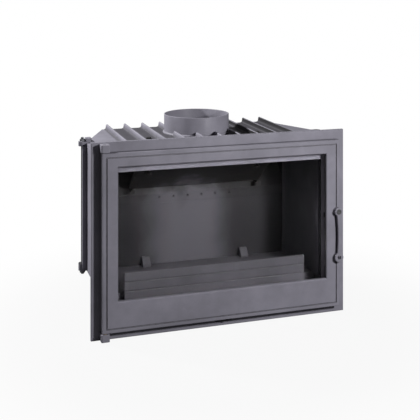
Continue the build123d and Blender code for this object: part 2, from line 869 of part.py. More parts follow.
def back_plate():
    """Ribbed rear casting."""
    half = shell_rear_half
    plate = block(-half, half, back_plate_y, shell_rear_y, shell_floor_z, shell_top_z)
    plate = chamfer(plate.edges().filter_by(Axis.Z).sort_by(Axis.Y)[-2:], back_bevel)
    for x in rib_xs[1:-1]:
        plate += block(x - back_rib_t / 2, x + back_rib_t / 2, shell_rear_y, shell_rear_y + back_rib_h,
                       shell_floor_z, shell_top_z)
    for side in (-1, 1):
        for z in flange_bolt_zs:
            plate -= rod_y(side * back_bolt_x, z, back_plate_y, shell_rear_y, bolt_r + hole_play)
    return plate


def back_bolts():
    """Bolts through the back plate into the side plates' flanges, with their nuts."""
    inner = back_plate_y - shell_wall
    bolts = []
    for side in (-1, 1):
        for z in flange_bolt_zs:
            x = side * back_bolt_x
            bolt = rod_y(x, z, inner - bolt_end, shell_rear_y, bolt_r)
            bolt += hex_y(x, z, shell_rear_y, shell_rear_y + bolt_head, bolt_af)
            bolts.append(bolt + hex_y(x, z, inner - bolt_nut, inner, bolt_af))
    return bolts


def tie_rods():
    """Rods that clamp the top and bottom plates: threaded through on the left, a sunk head on the right."""
    low = shell_low - rod_low_stub
    left = rod_z(-ear_half, ear_y, low, ear_top + rod_high_stub, rod_r)
    right = rod_z(ear_half, ear_y, low, shell_high, rod_r)
    right += cone_z(ear_half, ear_y, shell_high - rod_head_h, shell_high, rod_r, rod_head_r)
    return [right, left]


def tie_nuts():
    """Nuts of the tie rods: one above the left upper ear, one below each lower ear."""
    nuts = []
    for x, z in ((-ear_half, ear_top), (-ear_half, shell_low - nut_h), (ear_half, shell_low - nut_h)):
        bore = rod_z(x, ear_y, z, z + nut_h, rod_r + press_play)
        nuts.append(hex_z(x, ear_y, z, z + nut_h, nut_af) - bore)
    return nuts


# ---------------------------------------------------------------- flue collar

def collar_bolt_places():
    """X and Y of the bolts on the collar's inner stop ring."""
    ring = (flue_stop_r + flue_bore_r) / 2
    step = 360 / collar_bolt_count
    angles = [radians(step * (i + 0.5)) for i in range(collar_bolt_count)]
    return [(ring * cos(a), flue_y + ring * sin(a)) for a in angles]


def flue_collar():
    """Round spigot that takes the flue pipe inside, with a stop ring and a flared foot."""
    collar = rod_z(0, flue_y, shell_high, shell_high + flue_h, collar_outer_r)
    foot = rod_z(0, flue_y, shell_high, shell_high + flue_foot_h, collar_outer_r + flue_foot)
    top_edge = foot.edges().filter_by(GeomType.CIRCLE).sort_by(Axis.Z)[-1]
    collar += chamfer(top_edge, flue_foot_bevel)
    collar -= rod_z(0, flue_y, stop_top, shell_high + flue_h, flue_bore_r)
    collar -= rod_z(0, flue_y, shell_high, stop_top, flue_stop_r)
    collar = fillet(collar.edges().filter_by(GeomType.CIRCLE).group_by(Axis.Z)[-1], flue_rim_round)
    bolt_hole = collar_bolt_r + hole_play
    for x, y in collar_bolt_places():
        collar -= rod_z(x, y, shell_high, stop_top, bolt_hole)
        collar -= cone_z(x, y, stop_top - collar_head_h, stop_top, bolt_hole, collar_head_r + hole_play)
    return collar


def collar_bolts():
    """Countersunk bolts through the stop ring and the top plate, with nuts below."""
    bolts = []
    for x, y in collar_bolt_places():
        bolt = rod_z(x, y, shell_top_z - bolt_end, stop_top, collar_bolt_r)
        bolt += cone_z(x, y, stop_top - collar_head_h, stop_top, collar_bolt_r, collar_head_r)
        bolts.append(bolt + hex_z(x, y, shell_top_z - bolt_nut, shell_top_z, bolt_af))
    return bolts


# ---------------------------------------------------------------- base, hearth, grate and ash pan

def base_prism(inset, z0, z1):
    """Plan of the base casing, drawn in from its outer face and kept inside the shell, as a prism."""
    x = base_half - inset
    room = block(-x, x, frame_back_y, base_rear_y - inset, z0, z1)
    return room & prism_z(shell_outline(base_rim + inset), z0, z1)


def base_casing():
    """Steel box under the shell, welded from flat sheets: air chamber below, ash room above."""
    base = base_prism(0, base_wall, shell_low) - base_prism(base_wall, base_wall, shell_low)
    y1 = frame_back_y + base_wall
    for side in (-1, 1):
        base += block(side * (base_half - base_wall), side * (base_half + front_flange), frame_back_y, y1,
                      base_wall, shell_low)
        for z in base_bolt_z:
            base -= rod_y(side * (base_half + front_flange / 2), z, frame_back_y, y1, bolt_r + hole_play)
    rear = base_rear_y - base_wall
    bend = back(knee_back) + (shell_half - base_rim / cos(taper_angle) - base_half) / taper
    bend = min(bend, rear - base_wall)
    sheets = [base_prism(0, 0, base_wall)]
    sheets += both(base & block(0, shell_half, frame_back_y, bend, 0, shell_low))
    sheets += both(base & block(0, shell_half, bend, rear, 0, shell_low))
    return sheets + [base & block(-shell_half, shell_half, rear, base_rear_y, 0, shell_low)]


def ash_shelf():
    """Sheet that parts the ash room from the air chamber, on side ledges, with air holes at the rear."""
    shelf_low = shelf_top - shelf_t
    shelf = base_prism(lining, shelf_low, shelf_top)
    shelf += both(block(base_half - lining - ledge_w, base_half - lining, back(ledge_front_back),
                        base_rear_y - ledge_rear_in, base_wall, shelf_low))
    y1 = base_rear_y - shelf_hole_in
    for x in spread(shelf_hole_count, shelf_hole_pitch):
        shelf -= block(x - shelf_hole_w / 2, x + shelf_hole_w / 2, y1 - shelf_hole_d, y1,
                       shelf_low, shelf_top)
    return shelf


def hearth_plate():
    """Stepped hearth casting: apron, trough for the log guard, riser and floor with the grate recess."""
    apron = frame_back_y + seat_gap
    apron_in = apron + riser_t
    riser = back(trough_back)
    rear = base_rear_y
    trough_low = trough_top - trough_t
    hearth_low = hearth_top - hearth_t
    section = [
        (apron, shelf_top), (apron_in, shelf_top), (apron_in, trough_low), (riser + riser_t, trough_low),
        (riser + riser_t, hearth_low), (rear, hearth_low), (rear, hearth_top), (riser, hearth_top),
        (riser, trough_top), (apron, trough_top),
    ]
    hearth = prism_x(section, -base_half, base_half) & base_prism(lining, 0, shell_low)
    mouth = pan_half + pan_clear
    hearth -= block(-mouth, mouth, apron, apron_in, shelf_top, trough_low)
    y0, y1 = back(grate_back), back(grate_back) + grate_d
    half = grate_w / 2
    hearth -= block(-half - fit_gap, half + fit_gap, y0 - fit_gap, y1 + fit_gap, hearth_mid, hearth_top)
    hearth -= block(-half + grate_ledge, half - grate_ledge, y0 + grate_ledge, y1 - grate_ledge,
                    hearth_low, hearth_top)
    y0 = fireback_y + fireback_t + fit_gap
    for x in spread(air_hole_count, air_hole_pitch):
        hearth -= block(x - air_hole_w / 2, x + air_hole_w / 2, y0, y0 + air_hole_d, hearth_low, hearth_top)
    return hearth


def grate():
    """Cast grate with bars along Y, lying in the hearth's recess."""
    y0, y1 = back(grate_back), back(grate_back) + grate_d
    half = grate_w / 2
    low = hearth_top - hearth_t
    inner = grate_ledge + fit_gap
    plate = block(-half, half, y0, y1, hearth_mid, hearth_top)
    plate += block(-half + inner, half - inner, y0 + inner, y1 - inner, low, hearth_mid)
    for x in spread(grate_slots, (grate_w - 2 * grate_rim) / grate_slots):
        plate -= block(x - grate_slot_w / 2, x + grate_slot_w / 2, y0 + grate_end, y1 - grate_end,
                       low, hearth_top)
    return plate


def ash_pan():
    """Folded sheet drawer on the ash shelf."""
    y1 = base_rear_y - pan_rear_in
    top = trough_top - trough_t - pan_clear
    w = pan_wall
    pan = block(-pan_half, pan_half, pan_front_y, y1, shelf_top, top)
    return pan - block(-pan_half + w, pan_half - w, pan_front_y + w, y1 - w, shelf_top + w, top)


def pan_pull():
    """Bent pull riveted on the ash pan's front."""
    z = (shelf_top + trough_top - trough_t) / 2
    half = pull_w / 2
    pull = block(-half, half, pan_front_y - pull_reach, pan_front_y, z - pull_h / 2, z + pull_h / 2)
    pull -= block(-half + pull_t, half - pull_t, pan_front_y - pull_reach + pull_t, pan_front_y,
                  z - pull_h / 2, z + pull_h / 2)
    return fillet(pull.edges().filter_by(Axis.Z).sort_by(Axis.Y)[:2], pull_round)


# ---------------------------------------------------------------- firebox

def side_liner():
    """Right-hand cast liner, nearly parallel to the fire, with a raised rear edge."""
    y0, y1 = back(liner_front_back), liner_rear_y
    front, rear = liner_front_half, liner_rear_half
    lean = (front - rear) / (y1 - y0)
    step = rear + lean * liner_edge_w
    return prism_z([
        (front, y0), (front + liner_t, y0), (rear + liner_t, y1), (rear - liner_edge_t, y1),
        (step - liner_edge_t, y1 - liner_edge_w), (step, y1 - liner_edge_w - liner_edge_slope),
    ], hearth_top, liner_high)


def fireback():
    """Heavy cast plate at the rear of the fire."""
    y0 = fireback_y
    plate = block(-fireback_half, fireback_half, y0, y0 + fireback_t, hearth_top, panel_low)
    return chamfer(plate.edges().filter_by(Axis.Z).sort_by(Axis.Y)[:2], fireback_bevel)


def fireback_lugs():
    """Two cast lugs that hold the fireback's foot."""
    y1 = fireback_y
    profile = [(y1 - lug_d, hearth_top), (y1, hearth_top), (y1, hearth_top + lug_h),
               (y1 - lug_crown, hearth_top + lug_h), (y1 - lug_d, hearth_top + lug_toe)]
    return both(prism_x(profile, lug_half - lug_w / 2, lug_half + lug_w / 2))


def air_panel():
    """Steel angle on top of the fireback with the row of air holes and a shelf back to the rear wall."""
    y0 = fireback_y
    section = [(y0, panel_low), (y0 + panel_t, panel_low), (y0 + panel_t, panel_high - panel_t),
               (back_plate_y, panel_high - panel_t), (back_plate_y, panel_high), (y0, panel_high)]
    panel = prism_x(section, -shell_half, shell_half)
    panel &= prism_z(shell_outline(shell_wall + wall_gap), 0, frame_h)
    for x in spread(hole_count, hole_pitch):
        panel -= rod_y(x, hole_z, y0, y0 + panel_t, hole_r)
    for side in (-1, 1):
        for z in flange_bolt_zs:
            panel -= rod_y(side * back_bolt_x, z, throat_rear_y, back_plate_y, bolt_af)
        panel -= block(side * (back_bolt_x - rear_flange), side * shell_half,
                       back_plate_y - shell_wall - fit_gap, back_plate_y, panel_low, panel_high)
    return panel


def throat_plate():
    """Sloping plate behind the baffle that guides the smoke to the flue."""
    y0, y1 = fireback_y, throat_rear_y
    section = [
        (y0, panel_high), (y0 + throat_t / cos(throat_lean), panel_high),
        (y1 + throat_t * cos(throat_lean), throat_top - throat_t * sin(throat_lean)), (y1, throat_top),
    ]
    plate = prism_x(section, -shell_half, shell_half)
    plate &= prism_z(shell_outline(shell_wall + wall_gap), 0, frame_h)
    for side in (-1, 1):
        plate -= rod_y(side * hook_half, hook_z, y0, y1 + throat_t, rod_r + loose_play)
    return plate


def throat_y(z):
    """Y of the throat plate's front face at this height."""
    return fireback_y + tan(throat_lean) * (z - panel_high)


def smoke_baffle():
    """Sloping plate over the fire, lower at the rear, resting on two hooks and two hangers."""
    y_low, y_high = baffle_low_y, baffle_high_y
    oy, oz = baffle_t * sin(baffle_slope), baffle_t * cos(baffle_slope)
    section = [(y_low, baffle_low), (y_high, baffle_high), (y_high - oy, baffle_high - oz),
               (y_low - oy, baffle_low - oz)]
    plate = prism_x(section, -baffle_half, baffle_half)
    for side in (-1, 1):
        plate -= rod_z(side * hanger_half, hanger_y, baffle_low, shell_top_z, rod_r + hanger_play)
    return plate


def baffle_hooks():
    """Round studs in the throat plate that carry the baffle's lower edge."""
    knob_y = baffle_low_y - hook_reach
    root_y = throat_y(hook_z + knob_r) + throat_t / cos(throat_lean) + hook_root_gap
    hook = rod_y(hook_half, hook_z, knob_y, root_y, rod_r)
    hook += rod_y(hook_half, hook_z, knob_y - knob_t, knob_y, knob_r)
    hook += rod_y(hook_half, hook_z, root_y, root_y + hook_root_t, knob_r)
    return both(hook)


def baffle_hangers():
    """Rods from the top plate with a foot under the baffle's front edge."""
    under = baffle_low + (baffle_low_y - hanger_y) * tan(baffle_slope) - baffle_t / cos(baffle_slope)
    foot_z = under - hanger_foot_r * tan(baffle_slope) - seat_gap
    hanger = rod_z(hanger_half, hanger_y, foot_z - hanger_foot_t, shell_high, rod_r)
    hanger += rod_z(hanger_half, hanger_y, foot_z - hanger_foot_t, foot_z, hanger_foot_r)
    hanger += rod_z(hanger_half, hanger_y, shell_high, shell_high + hanger_head_t, hanger_head_r)
    return both(hanger)


# ---------------------------------------------------------------- log guard

def log_guard():
    """Cast guard of flat bands with a groove between them, standing in the trough."""
    y0 = back(guard_back)
    y1 = y0 + guard_t
    top = trough_top + guard_bands * guard_band
    corners = [(0, y0, trough_top)]
    for i in range(1, guard_bands):
        z = trough_top + i * guard_band
        corners += [(0, y0, z - guard_groove_w / 2), (0, y0 + guard_groove_d, z), (0, y0, z + guard_groove_w / 2)]
    corners += [(0, y0, top), (0, y1, top), (0, y1, trough_top)]
    outline = [Line(corners[i], corners[(i + 1) % len(corners)]) for i in range(len(corners))]
    guard = Pos(-guard_half, 0, 0) * extrude(make_face(outline), amount=2 * guard_half, dir=(1, 0, 0))
    for side in (-1, 1):
        x0 = side * (guard_half - guard_foot_in)
        guard += block(x0, x0 + side * guard_foot_w, y1 - guard_t / 2, back(trough_back) - fit_gap,
                       trough_top, trough_top + guard_band * 2)
    return guard


# ---------------------------------------------------------------- build

def main():
    """Write every sub-part."""
    os.makedirs("parts", exist_ok=True)
    save("front_frame", front_frame())
    save("frame_bolts", *frame_bolts())
    save("air_slider", air_slider())
    save("slider_guides", *slider_guides())
    save("door_frame", door_frame())
    save("door_glass", door_glass())
    save("glass_gasket", glass_gasket())
    save("glass_clips", *glass_clips())
    save("clip_screws", *clip_screws())
    save("door_rope", door_rope())
    save("hinge_bracket_upper", hinge_bracket(bracket_high_z))
    save("hinge_bracket_lower", hinge_bracket(bracket_low_z))
    upper_pin, lower_pin = hinge_pins()
    save("hinge_pin_upper", upper_pin)
    save("hinge_pin_lower", lower_pin)
    save("hinge_washer", hinge_washer())
    save("hinge_bolts", *hinge_bolts())
    save("latch_lever", latch_lever())
    save("latch_shaft", latch_shaft())
    save("latch_screw", latch_screw())
    save("latch_washer", latch_washer())
    save("latch_tongue", latch_tongue())
    save("latch_nut", latch_nut())
    save("latch_keeper", latch_keeper())
    save("top_plate", top_plate())
    save("bottom_plate", bottom_plate())
    side = side_plate()
    save("side_plate_right", side)
    save("side_plate_left", mirrored(side))
    save("back_plate", back_plate())
    save("back_bolts", *back_bolts())
    save("tie_rods", *tie_rods())
    save("tie_nuts", *tie_nuts())
    save("flue_collar", flue_collar())
    save("collar_bolts", *collar_bolts())
    save("base_casing", *base_casing())
    save("ash_shelf", ash_shelf())
    save("hearth_plate", hearth_plate())
    save("grate", grate())
    save("ash_pan", ash_pan())
    save("pan_pull", pan_pull())
    liner = side_liner()
    save("side_liner_right", liner)
    save("side_liner_left", mirrored(liner))
    save("fireback", fireback())
    save("fireback_lugs", *fireback_lugs())
    save("air_panel", air_panel())
    save("throat_plate", throat_plate())
    save("smoke_baffle", smoke_baffle())
    save("baffle_hooks", *baffle_hooks())
    save("baffle_hangers", *baffle_hangers())
    save("log_guard", log_guard())


main()
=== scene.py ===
# %% [markdown]
# # A cast-iron fireplace insert
#
# An insert is a stove without feet that slides into a chimney breast. Only its flat front frame and
# its glazed door are seen once it is built in, but this one stands free, so the ribbed shell, the
# flue collar and the steel base under it show as well.
#
# The engineering model already holds every solid in its place. This script dresses it: it rounds the
# edges of the castings, makes what a solid model leaves plain (threads, knitted rope, weld beads),
# gives each surface its finish, and lights it in a pale studio.

# %% Load the engineering model
import json
import math
import bmesh
import bpy
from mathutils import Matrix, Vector


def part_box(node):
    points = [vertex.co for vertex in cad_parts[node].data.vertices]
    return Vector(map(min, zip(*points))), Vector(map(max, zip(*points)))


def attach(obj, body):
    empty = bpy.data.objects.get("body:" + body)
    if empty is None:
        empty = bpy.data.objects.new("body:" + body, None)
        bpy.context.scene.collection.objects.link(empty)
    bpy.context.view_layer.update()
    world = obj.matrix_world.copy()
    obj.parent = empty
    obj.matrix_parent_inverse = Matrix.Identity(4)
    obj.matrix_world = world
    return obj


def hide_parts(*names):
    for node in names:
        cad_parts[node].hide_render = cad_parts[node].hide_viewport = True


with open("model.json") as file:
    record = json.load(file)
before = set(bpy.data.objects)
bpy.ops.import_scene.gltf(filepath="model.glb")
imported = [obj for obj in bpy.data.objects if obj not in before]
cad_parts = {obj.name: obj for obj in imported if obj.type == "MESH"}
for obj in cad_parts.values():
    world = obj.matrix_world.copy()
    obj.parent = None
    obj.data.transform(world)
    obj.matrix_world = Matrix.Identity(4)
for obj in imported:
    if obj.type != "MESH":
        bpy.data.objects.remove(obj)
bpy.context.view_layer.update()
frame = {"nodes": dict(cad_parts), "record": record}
body_of = {node: body for body, nodes in frame["record"]["behaviour"]["bodies"].items() for node in nodes}
slot_of = {part["node"]: part["material_slot"] for part in frame["record"]["subparts"]}

# %% [markdown]
# ## Small makers
#
# Shader trees and geometry trees are built the same way: a node is added, its settings are set, and
# each of its inputs gets a number or a wire. One function does that for both, so that each tree
# below reads as a list of its nodes.

# %% Add a node and wire it
def add(tree, kind, settings=None, **inputs):
    """Add a node. An input is named by its title with _ for spaces, or by its place as in0, in1."""
    made = tree.nodes.new(kind)
    for name, value in (settings or {}).items():
        setattr(made, name, value)
    for name, value in inputs.items():
        key = int(name[2:]) if name[:2] == "in" and name[2:].isdigit() else name.replace("_", " ")
        if isinstance(value, bpy.types.NodeSocket):
            tree.links.new(value, made.inputs[key])
        else:
            made.inputs[key].default_value = value
    return made


def maths(tree, operation, first, second=0.0, third=0.0, clamp=False):
    settings = {"operation": operation, "use_clamp": clamp}
    return add(tree, "ShaderNodeMath", settings, in0=first, in1=second, in2=third).outputs[0]


def ramp(tree, value, low, high, out_low=0.0, out_high=1.0):
    """A smooth step from out_low to out_high while value goes from low to high."""
    settings = {"interpolation_type": "SMOOTHSTEP", "clamp": True}
    return add(tree, "ShaderNodeMapRange", settings, Value=value, From_Min=low, From_Max=high,
               To_Min=out_low, To_Max=out_high).outputs[0]


# %% Mix colours, and start a group with named sockets
def mix(tree, factor, first, second, blend="MIX"):
    made = tree.nodes.new("ShaderNodeMix")
    made.data_type, made.blend_type = "RGBA", blend
    for socket, value in ((made.inputs[0], factor), (made.inputs[6], first), (made.inputs[7], second)):
        if isinstance(value, bpy.types.NodeSocket):
            tree.links.new(value, socket)
        else:
            socket.default_value = value if isinstance(value, float) else (*value[:3], 1.0)
    return made.outputs[2]


def new_group(name, kind, inputs, outputs):
    """A node group: inputs are (title, kind of socket, value), outputs (title, kind of socket)."""
    tree = bpy.data.node_groups.new(name, kind)
    for title, socket, value in inputs:
        made = tree.interface.new_socket(title, in_out="INPUT", socket_type=socket)
        if value is not None:
            made.default_value = value
    for title, socket in outputs:
        tree.interface.new_socket(title, in_out="OUTPUT", socket_type=socket)
    return tree, tree.nodes.new("NodeGroupInput").outputs, tree.nodes.new("NodeGroupOutput").inputs


def new_object(name, data):
    made = bpy.data.objects.new(name, data)
    bpy.context.scene.collection.objects.link(made)
    return made


NUMBER, VECTOR = "NodeSocketFloat", "NodeSocketVector"
print("makers ready")

# %% [markdown]
# ## Cast grain
#
# Iron is poured into a mould of sand, and the skin of the casting keeps the print of its grains: a
# fine tooth, a slow waviness where the sand was rammed more or less hard, and a few open pits. Paint
# softens it but doesn't hide it. An image texture could hold such a skin, but a handful of noises in
# the object's own coordinates does it with no seam and at its real size, so it is a node group that
# every casting shares, with its own grain size.

# %% Group: cast grain
grain_group, given, out = new_group(
    "cast_grain", "ShaderNodeTree",
    [("Vector", VECTOR, None), ("Grains per metre", NUMBER, 700.0), ("Pits", NUMBER, 0.4)],
    [("Height", NUMBER), ("Tone", NUMBER)])
wave_share, pit_share, cloud_share = 0.11, 0.33, 0.016  # how many of each for one grain
fine = add(grain_group, "ShaderNodeTexNoise", Vector=given[0], Scale=given[1], Detail=3.0, Roughness=0.65)
wave_scale = maths(grain_group, "MULTIPLY", given[1], wave_share)
wave = add(grain_group, "ShaderNodeTexNoise", Vector=given[0], Scale=wave_scale, Detail=2.0, Roughness=0.5)
pit_scale = maths(grain_group, "MULTIPLY", given[1], pit_share)
cells = add(grain_group, "ShaderNodeTexVoronoi", Vector=given[0], Scale=pit_scale, Randomness=1.0)
pit = ramp(grain_group, cells.outputs["Distance"], 0.08, 0.22, 1.0, 0.0)
pit = maths(grain_group, "MULTIPLY", pit, given[2])
height = maths(grain_group, "MULTIPLY_ADD", wave.outputs["Fac"], 0.9, fine.outputs["Fac"])
grain_group.links.new(maths(grain_group, "SUBTRACT", height, pit), out[0])
cloud_scale = maths(grain_group, "MULTIPLY", given[1], cloud_share)
cloud = add(grain_group, "ShaderNodeTexNoise", Vector=given[0], Scale=cloud_scale, Detail=4.0,
            Roughness=0.6)
tone = maths(grain_group, "MULTIPLY_ADD", fine.outputs["Fac"], 0.35, cloud.outputs["Fac"])
grain_group.links.new(ramp(grain_group, tone, 0.45, 0.92), out[1])
print("cast_grain:", len(grain_group.nodes), "nodes")

# %% [markdown]
# ## Worn edges
#
# Paint is thinnest on an outer edge, and hands, tools and logs rub it there first. Cycles can say
# where an edge is: its Bevel node looks a few millimetres round the point, and where that averaged
# normal leans away from the real one there is an edge near. A noise breaks the band up, because an
# even outline looks drawn.

# %% Group: edge wear
wear_group, given, out = new_group(
    "edge_wear", "ShaderNodeTree",
    [("Vector", VECTOR, None), ("Reach", NUMBER, 0.0025), ("Amount", NUMBER, 0.5)], [("Mask", NUMBER)])
rounded = add(wear_group, "ShaderNodeBevel", {"samples": 4}, Radius=given[1])
surface = add(wear_group, "ShaderNodeNewGeometry")
lean = add(wear_group, "ShaderNodeVectorMath", {"operation": "DOT_PRODUCT"},
           in0=rounded.outputs[0], in1=surface.outputs["Normal"])
edge = ramp(wear_group, lean.outputs["Value"], 0.99, 0.80)
patch = add(wear_group, "ShaderNodeTexNoise", Vector=given[0], Scale=90.0, Detail=5.0, Roughness=0.7)
patch = ramp(wear_group, patch.outputs["Fac"], 0.38, 0.62, 0.25, 1.0)
edge = maths(wear_group, "MULTIPLY", edge, patch)
wear_group.links.new(maths(wear_group, "MULTIPLY", edge, given[2], clamp=True), out[0])
print("edge_wear:", len(wear_group.nodes), "nodes")

# %% [markdown]
# ## Painted shade in grooves
#
# Grooves and crevices are darkened in the colour: this is painted shade, where the piece shades
# itself. The Ambient Occlusion node looks a few millimetres round the point and says how much of
# that view is blocked, here by the piece itself only, so that the mask stays the same at every pose.

# %% Group: painted shade in grooves
groove_shade_group, given, out = new_group(
    "groove_grime", "ShaderNodeTree",
    [("Reach", NUMBER, 0.006), ("Amount", NUMBER, 0.7)], [("Mask", NUMBER)])
blocked = add(groove_shade_group, "ShaderNodeAmbientOcclusion", {"samples": 6, "only_local": True},
              Distance=given[0])
deep = ramp(groove_shade_group, blocked.outputs["AO"], 0.80, 0.35)
groove_shade_group.links.new(maths(groove_shade_group, "MULTIPLY", deep, given[1], clamp=True), out[0])
print("groove_grime:", len(groove_shade_group.nodes), "nodes")

# %% [markdown]
# ## Dust, soot and painted shade
#
# Two things settle on a stove. Dust lies on what faces up, so its mask comes from the normal. Soot
# rises with the smoke and clings where it is still, so its mask grows with height and is torn by a
# slow noise; in the fireback's finish this same mask is painted shade over the upper firebox. Both
# are masks only: the material decides what colour they bring.

# %% Group: settled dust, and soot that also serves as painted shade
settled_group, given, out = new_group(
    "settled", "ShaderNodeTree",
    [("Vector", VECTOR, None), ("Clean below", NUMBER, 0.1), ("Black above", NUMBER, 0.45)],
    [("Dust", NUMBER), ("Soot", NUMBER)])
surface = add(settled_group, "ShaderNodeNewGeometry")
facing = add(settled_group, "ShaderNodeSeparateXYZ", Vector=surface.outputs["Normal"])
speck = add(settled_group, "ShaderNodeTexNoise", Vector=given[0], Scale=260.0, Detail=6.0, Roughness=0.75)
upward = ramp(settled_group, facing.outputs["Z"], 0.55, 0.98)
speck = ramp(settled_group, speck.outputs["Fac"], 0.42, 0.66)
settled_group.links.new(maths(settled_group, "MULTIPLY", upward, speck), out[0])
drift_height = 0.22
place = add(settled_group, "ShaderNodeSeparateXYZ", Vector=given[0])
drift = add(settled_group, "ShaderNodeTexNoise", Vector=given[0], Scale=11.0, Detail=5.0, Roughness=0.6)
level = maths(settled_group, "MULTIPLY_ADD", drift.outputs["Fac"], drift_height, place.outputs["Z"])
level = maths(settled_group, "SUBTRACT", level, drift_height / 2)
soot_and_shade = add(settled_group, "ShaderNodeMapRange", {"interpolation_type": "SMOOTHSTEP"}, Value=level,
           From_Min=given[1], From_Max=given[2])
settled_group.links.new(soot_and_shade.outputs[0], out[1])
print("settled:", len(settled_group.nodes), "nodes")

# %% [markdown]
# ## Finishes
#
# Every finish starts the same way: a material with its object coordinates. The shader itself always
# stays in the material, and what is the same all over, such as the index of refraction, is set
# on the shader's own socket.

# %% Start a finish
def new_finish(name):
    made = bpy.data.materials.new(name)
    made.use_nodes = True
    shader = made.node_tree.nodes["Principled BSDF"]
    place = made.node_tree.nodes.new("ShaderNodeTexCoord").outputs["Object"]
    return made, made.node_tree, shader, place


def use(tree, shared, **inputs):
    """Place a shared group in a material, with its own values."""
    return add(tree, "ShaderNodeGroup", {"node_tree": shared}, **inputs).outputs


def bump(tree, height, depth):
    return add(tree, "ShaderNodeBump", Height=height, Distance=depth).outputs[0]


# %% [markdown]
# ### Painted iron
#
# Stove paint is a thin matt coat with metal flake in it, baked hard by the first fire. On the
# outside it is zinc grey with a breath of violet, inside it is darker and quite dull. Both are the
# same recipe: cast grain under the paint, a slow drift of tone, brighter rubbed edges, painted shade
# in grooves, a little dust, and a mask that darkens with height. Patches can be handed in, each a
# mask and the colour that it brings; some give the iron its own colour, the others are painted shade
# and a painted highlight.

# %% Painted iron
# The first colour is soot, and painted shade in the fireback's finish; the second is painted shade in
# grooves; the third is dust.
soot_and_shade_black, groove_shade_colour, ash_dust = (0.012, 0.011, 0.011), (0.018, 0.017, 0.018), (0.42, 0.40, 0.38)
tone_spread, groove_shade_amount = 0.14, 0.75


def painted_iron(name, colour, rubbed, rough, grains, depth, wear, dust, soot_and_shade, soot_range=(0.1, 0.45),
                 patches=()):
    """grains is their number in a metre, depth that of the grain in metres.

    The soot range holds the two heights between which the soot thickens; in the fireback's finish this
    darkening is painted shade."""
    made, tree, shader, place = new_finish(name)
    skin = use(tree, grain_group, Vector=place, Grains_per_metre=grains)
    worn = use(tree, wear_group, Vector=place, Amount=wear)[0]
    lain = use(tree, settled_group, Vector=place, Clean_below=soot_range[0], Black_above=soot_range[1])
    dark, light = [c * (1 - tone_spread) for c in colour], [c * (1 + tone_spread) for c in colour]
    base = mix(tree, skin["Tone"], dark, light)
    for patch, patch_colour in patches:
        base = mix(tree, patch(tree, place), base, patch_colour)
    # Soot darkening with height; in the fireback's finish it is painted shade over the upper firebox.
    base = mix(tree, maths(tree, "MULTIPLY", lain["Soot"], soot_and_shade), base, soot_and_shade_black)
    # Painted shade: crevices where the piece shades itself are darkened.
    shade_in_grooves = use(tree, groove_shade_group, Amount=groove_shade_amount)[0]
    base = mix(tree, shade_in_grooves, base, groove_shade_colour)
    base = mix(tree, maths(tree, "MULTIPLY", lain["Dust"], dust), base, ash_dust)
    tree.links.new(mix(tree, worn, base, rubbed), shader.inputs["Base Color"])
    dull = maths(tree, "MULTIPLY_ADD", skin["Tone"], -0.10, rough + 0.05)
    dull = maths(tree, "MULTIPLY_ADD", lain["Dust"], 0.2, dull)
    tree.links.new(maths(tree, "MULTIPLY_ADD", worn, -0.12, dull), shader.inputs["Roughness"])
    tree.links.new(bump(tree, skin["Height"], depth), shader.inputs["Normal"])
    shader.inputs["Specular IOR Level"].default_value = 0.25
    return made


# %% Outside and inside
outer = {"colour": (0.218, 0.210, 0.250), "rubbed": (0.38, 0.37, 0.415), "rough": 0.55, "grains": 620.0,
         "depth": 0.00022, "wear": 0.55, "soot_and_shade": 0.0}
outer_iron = painted_iron("outer_iron", dust=0.06, **outer)
fire_iron = painted_iron("fire_iron", colour=(0.090, 0.087, 0.101), rubbed=(0.18, 0.175, 0.19), rough=0.62,
                         grains=560.0, depth=0.00028, wear=0.35, dust=0.10, soot_and_shade=0.80,
                         soot_range=(0.22, 0.50))
print("painted iron:", outer_iron.name, fire_iron.name)

# %% [markdown]
# Some places get a patch. The shell's plates are grey outside and black on the side of the fire: a
# point is on the fire's side where the normal leans towards the middle of the firebox. The valleys
# between the ribs of the top plate are darkened as painted shade, for the shadow that each rib casts.
# The fireback is nearly black with a pale band down its middle, a painted highlight for the sheen of
# the key lamp, and all that stands higher is painted shade. The sides of the window and of the mouth
# behind it are darkened as painted shade. All are smooth steps of the place and the normal, two of
# them torn by a little noise.

# %% Where the shell faces the fire
fire_middle = (0.0, 0.15, 0.30)


def on_fire_side(tree, place):
    surface = add(tree, "ShaderNodeNewGeometry")
    away = add(tree, "ShaderNodeVectorMath", {"operation": "SUBTRACT"}, in0=place, in1=fire_middle)
    lean = add(tree, "ShaderNodeVectorMath", {"operation": "DOT_PRODUCT"},
               in0=away.outputs[0], in1=surface.outputs["True Normal"])
    return ramp(tree, lean.outputs["Value"], 0.0, -0.03)


# %% Painted shade in the valleys between the ribs
rib_pitch, outermost_rib, plate_top = 0.0534, 4.5, 0.472


def shade_in_valleys(tree, place):
    part = add(tree, "ShaderNodeSeparateXYZ", Vector=place)
    ragged = add(tree, "ShaderNodeTexNoise", Vector=place, Scale=70.0, Detail=4.0, Roughness=0.6)
    across = maths(tree, "PINGPONG", part.outputs["X"], rib_pitch / 2)
    across = maths(tree, "MULTIPLY_ADD", ragged.outputs["Fac"], 0.004, across)
    mask = ramp(tree, across, rib_pitch / 2 + 0.001, rib_pitch / 2 - 0.004)
    inside = ramp(tree, maths(tree, "ABSOLUTE", part.outputs["X"]),
                  rib_pitch * (outermost_rib + 0.26), rib_pitch * (outermost_rib + 0.10))
    low = ramp(tree, part.outputs["Z"], plate_top + 0.012, plate_top + 0.002)
    behind = ramp(tree, part.outputs["Y"], 0.004, 0.012)
    for share in (inside, low, behind, 0.88):
        mask = maths(tree, "MULTIPLY", mask, share)
    return mask


# %% A painted highlight down the middle of the fireback
sheen_left, sheen_right, torn_by = (-0.205, -0.055), (0.130, 0.035), 0.05


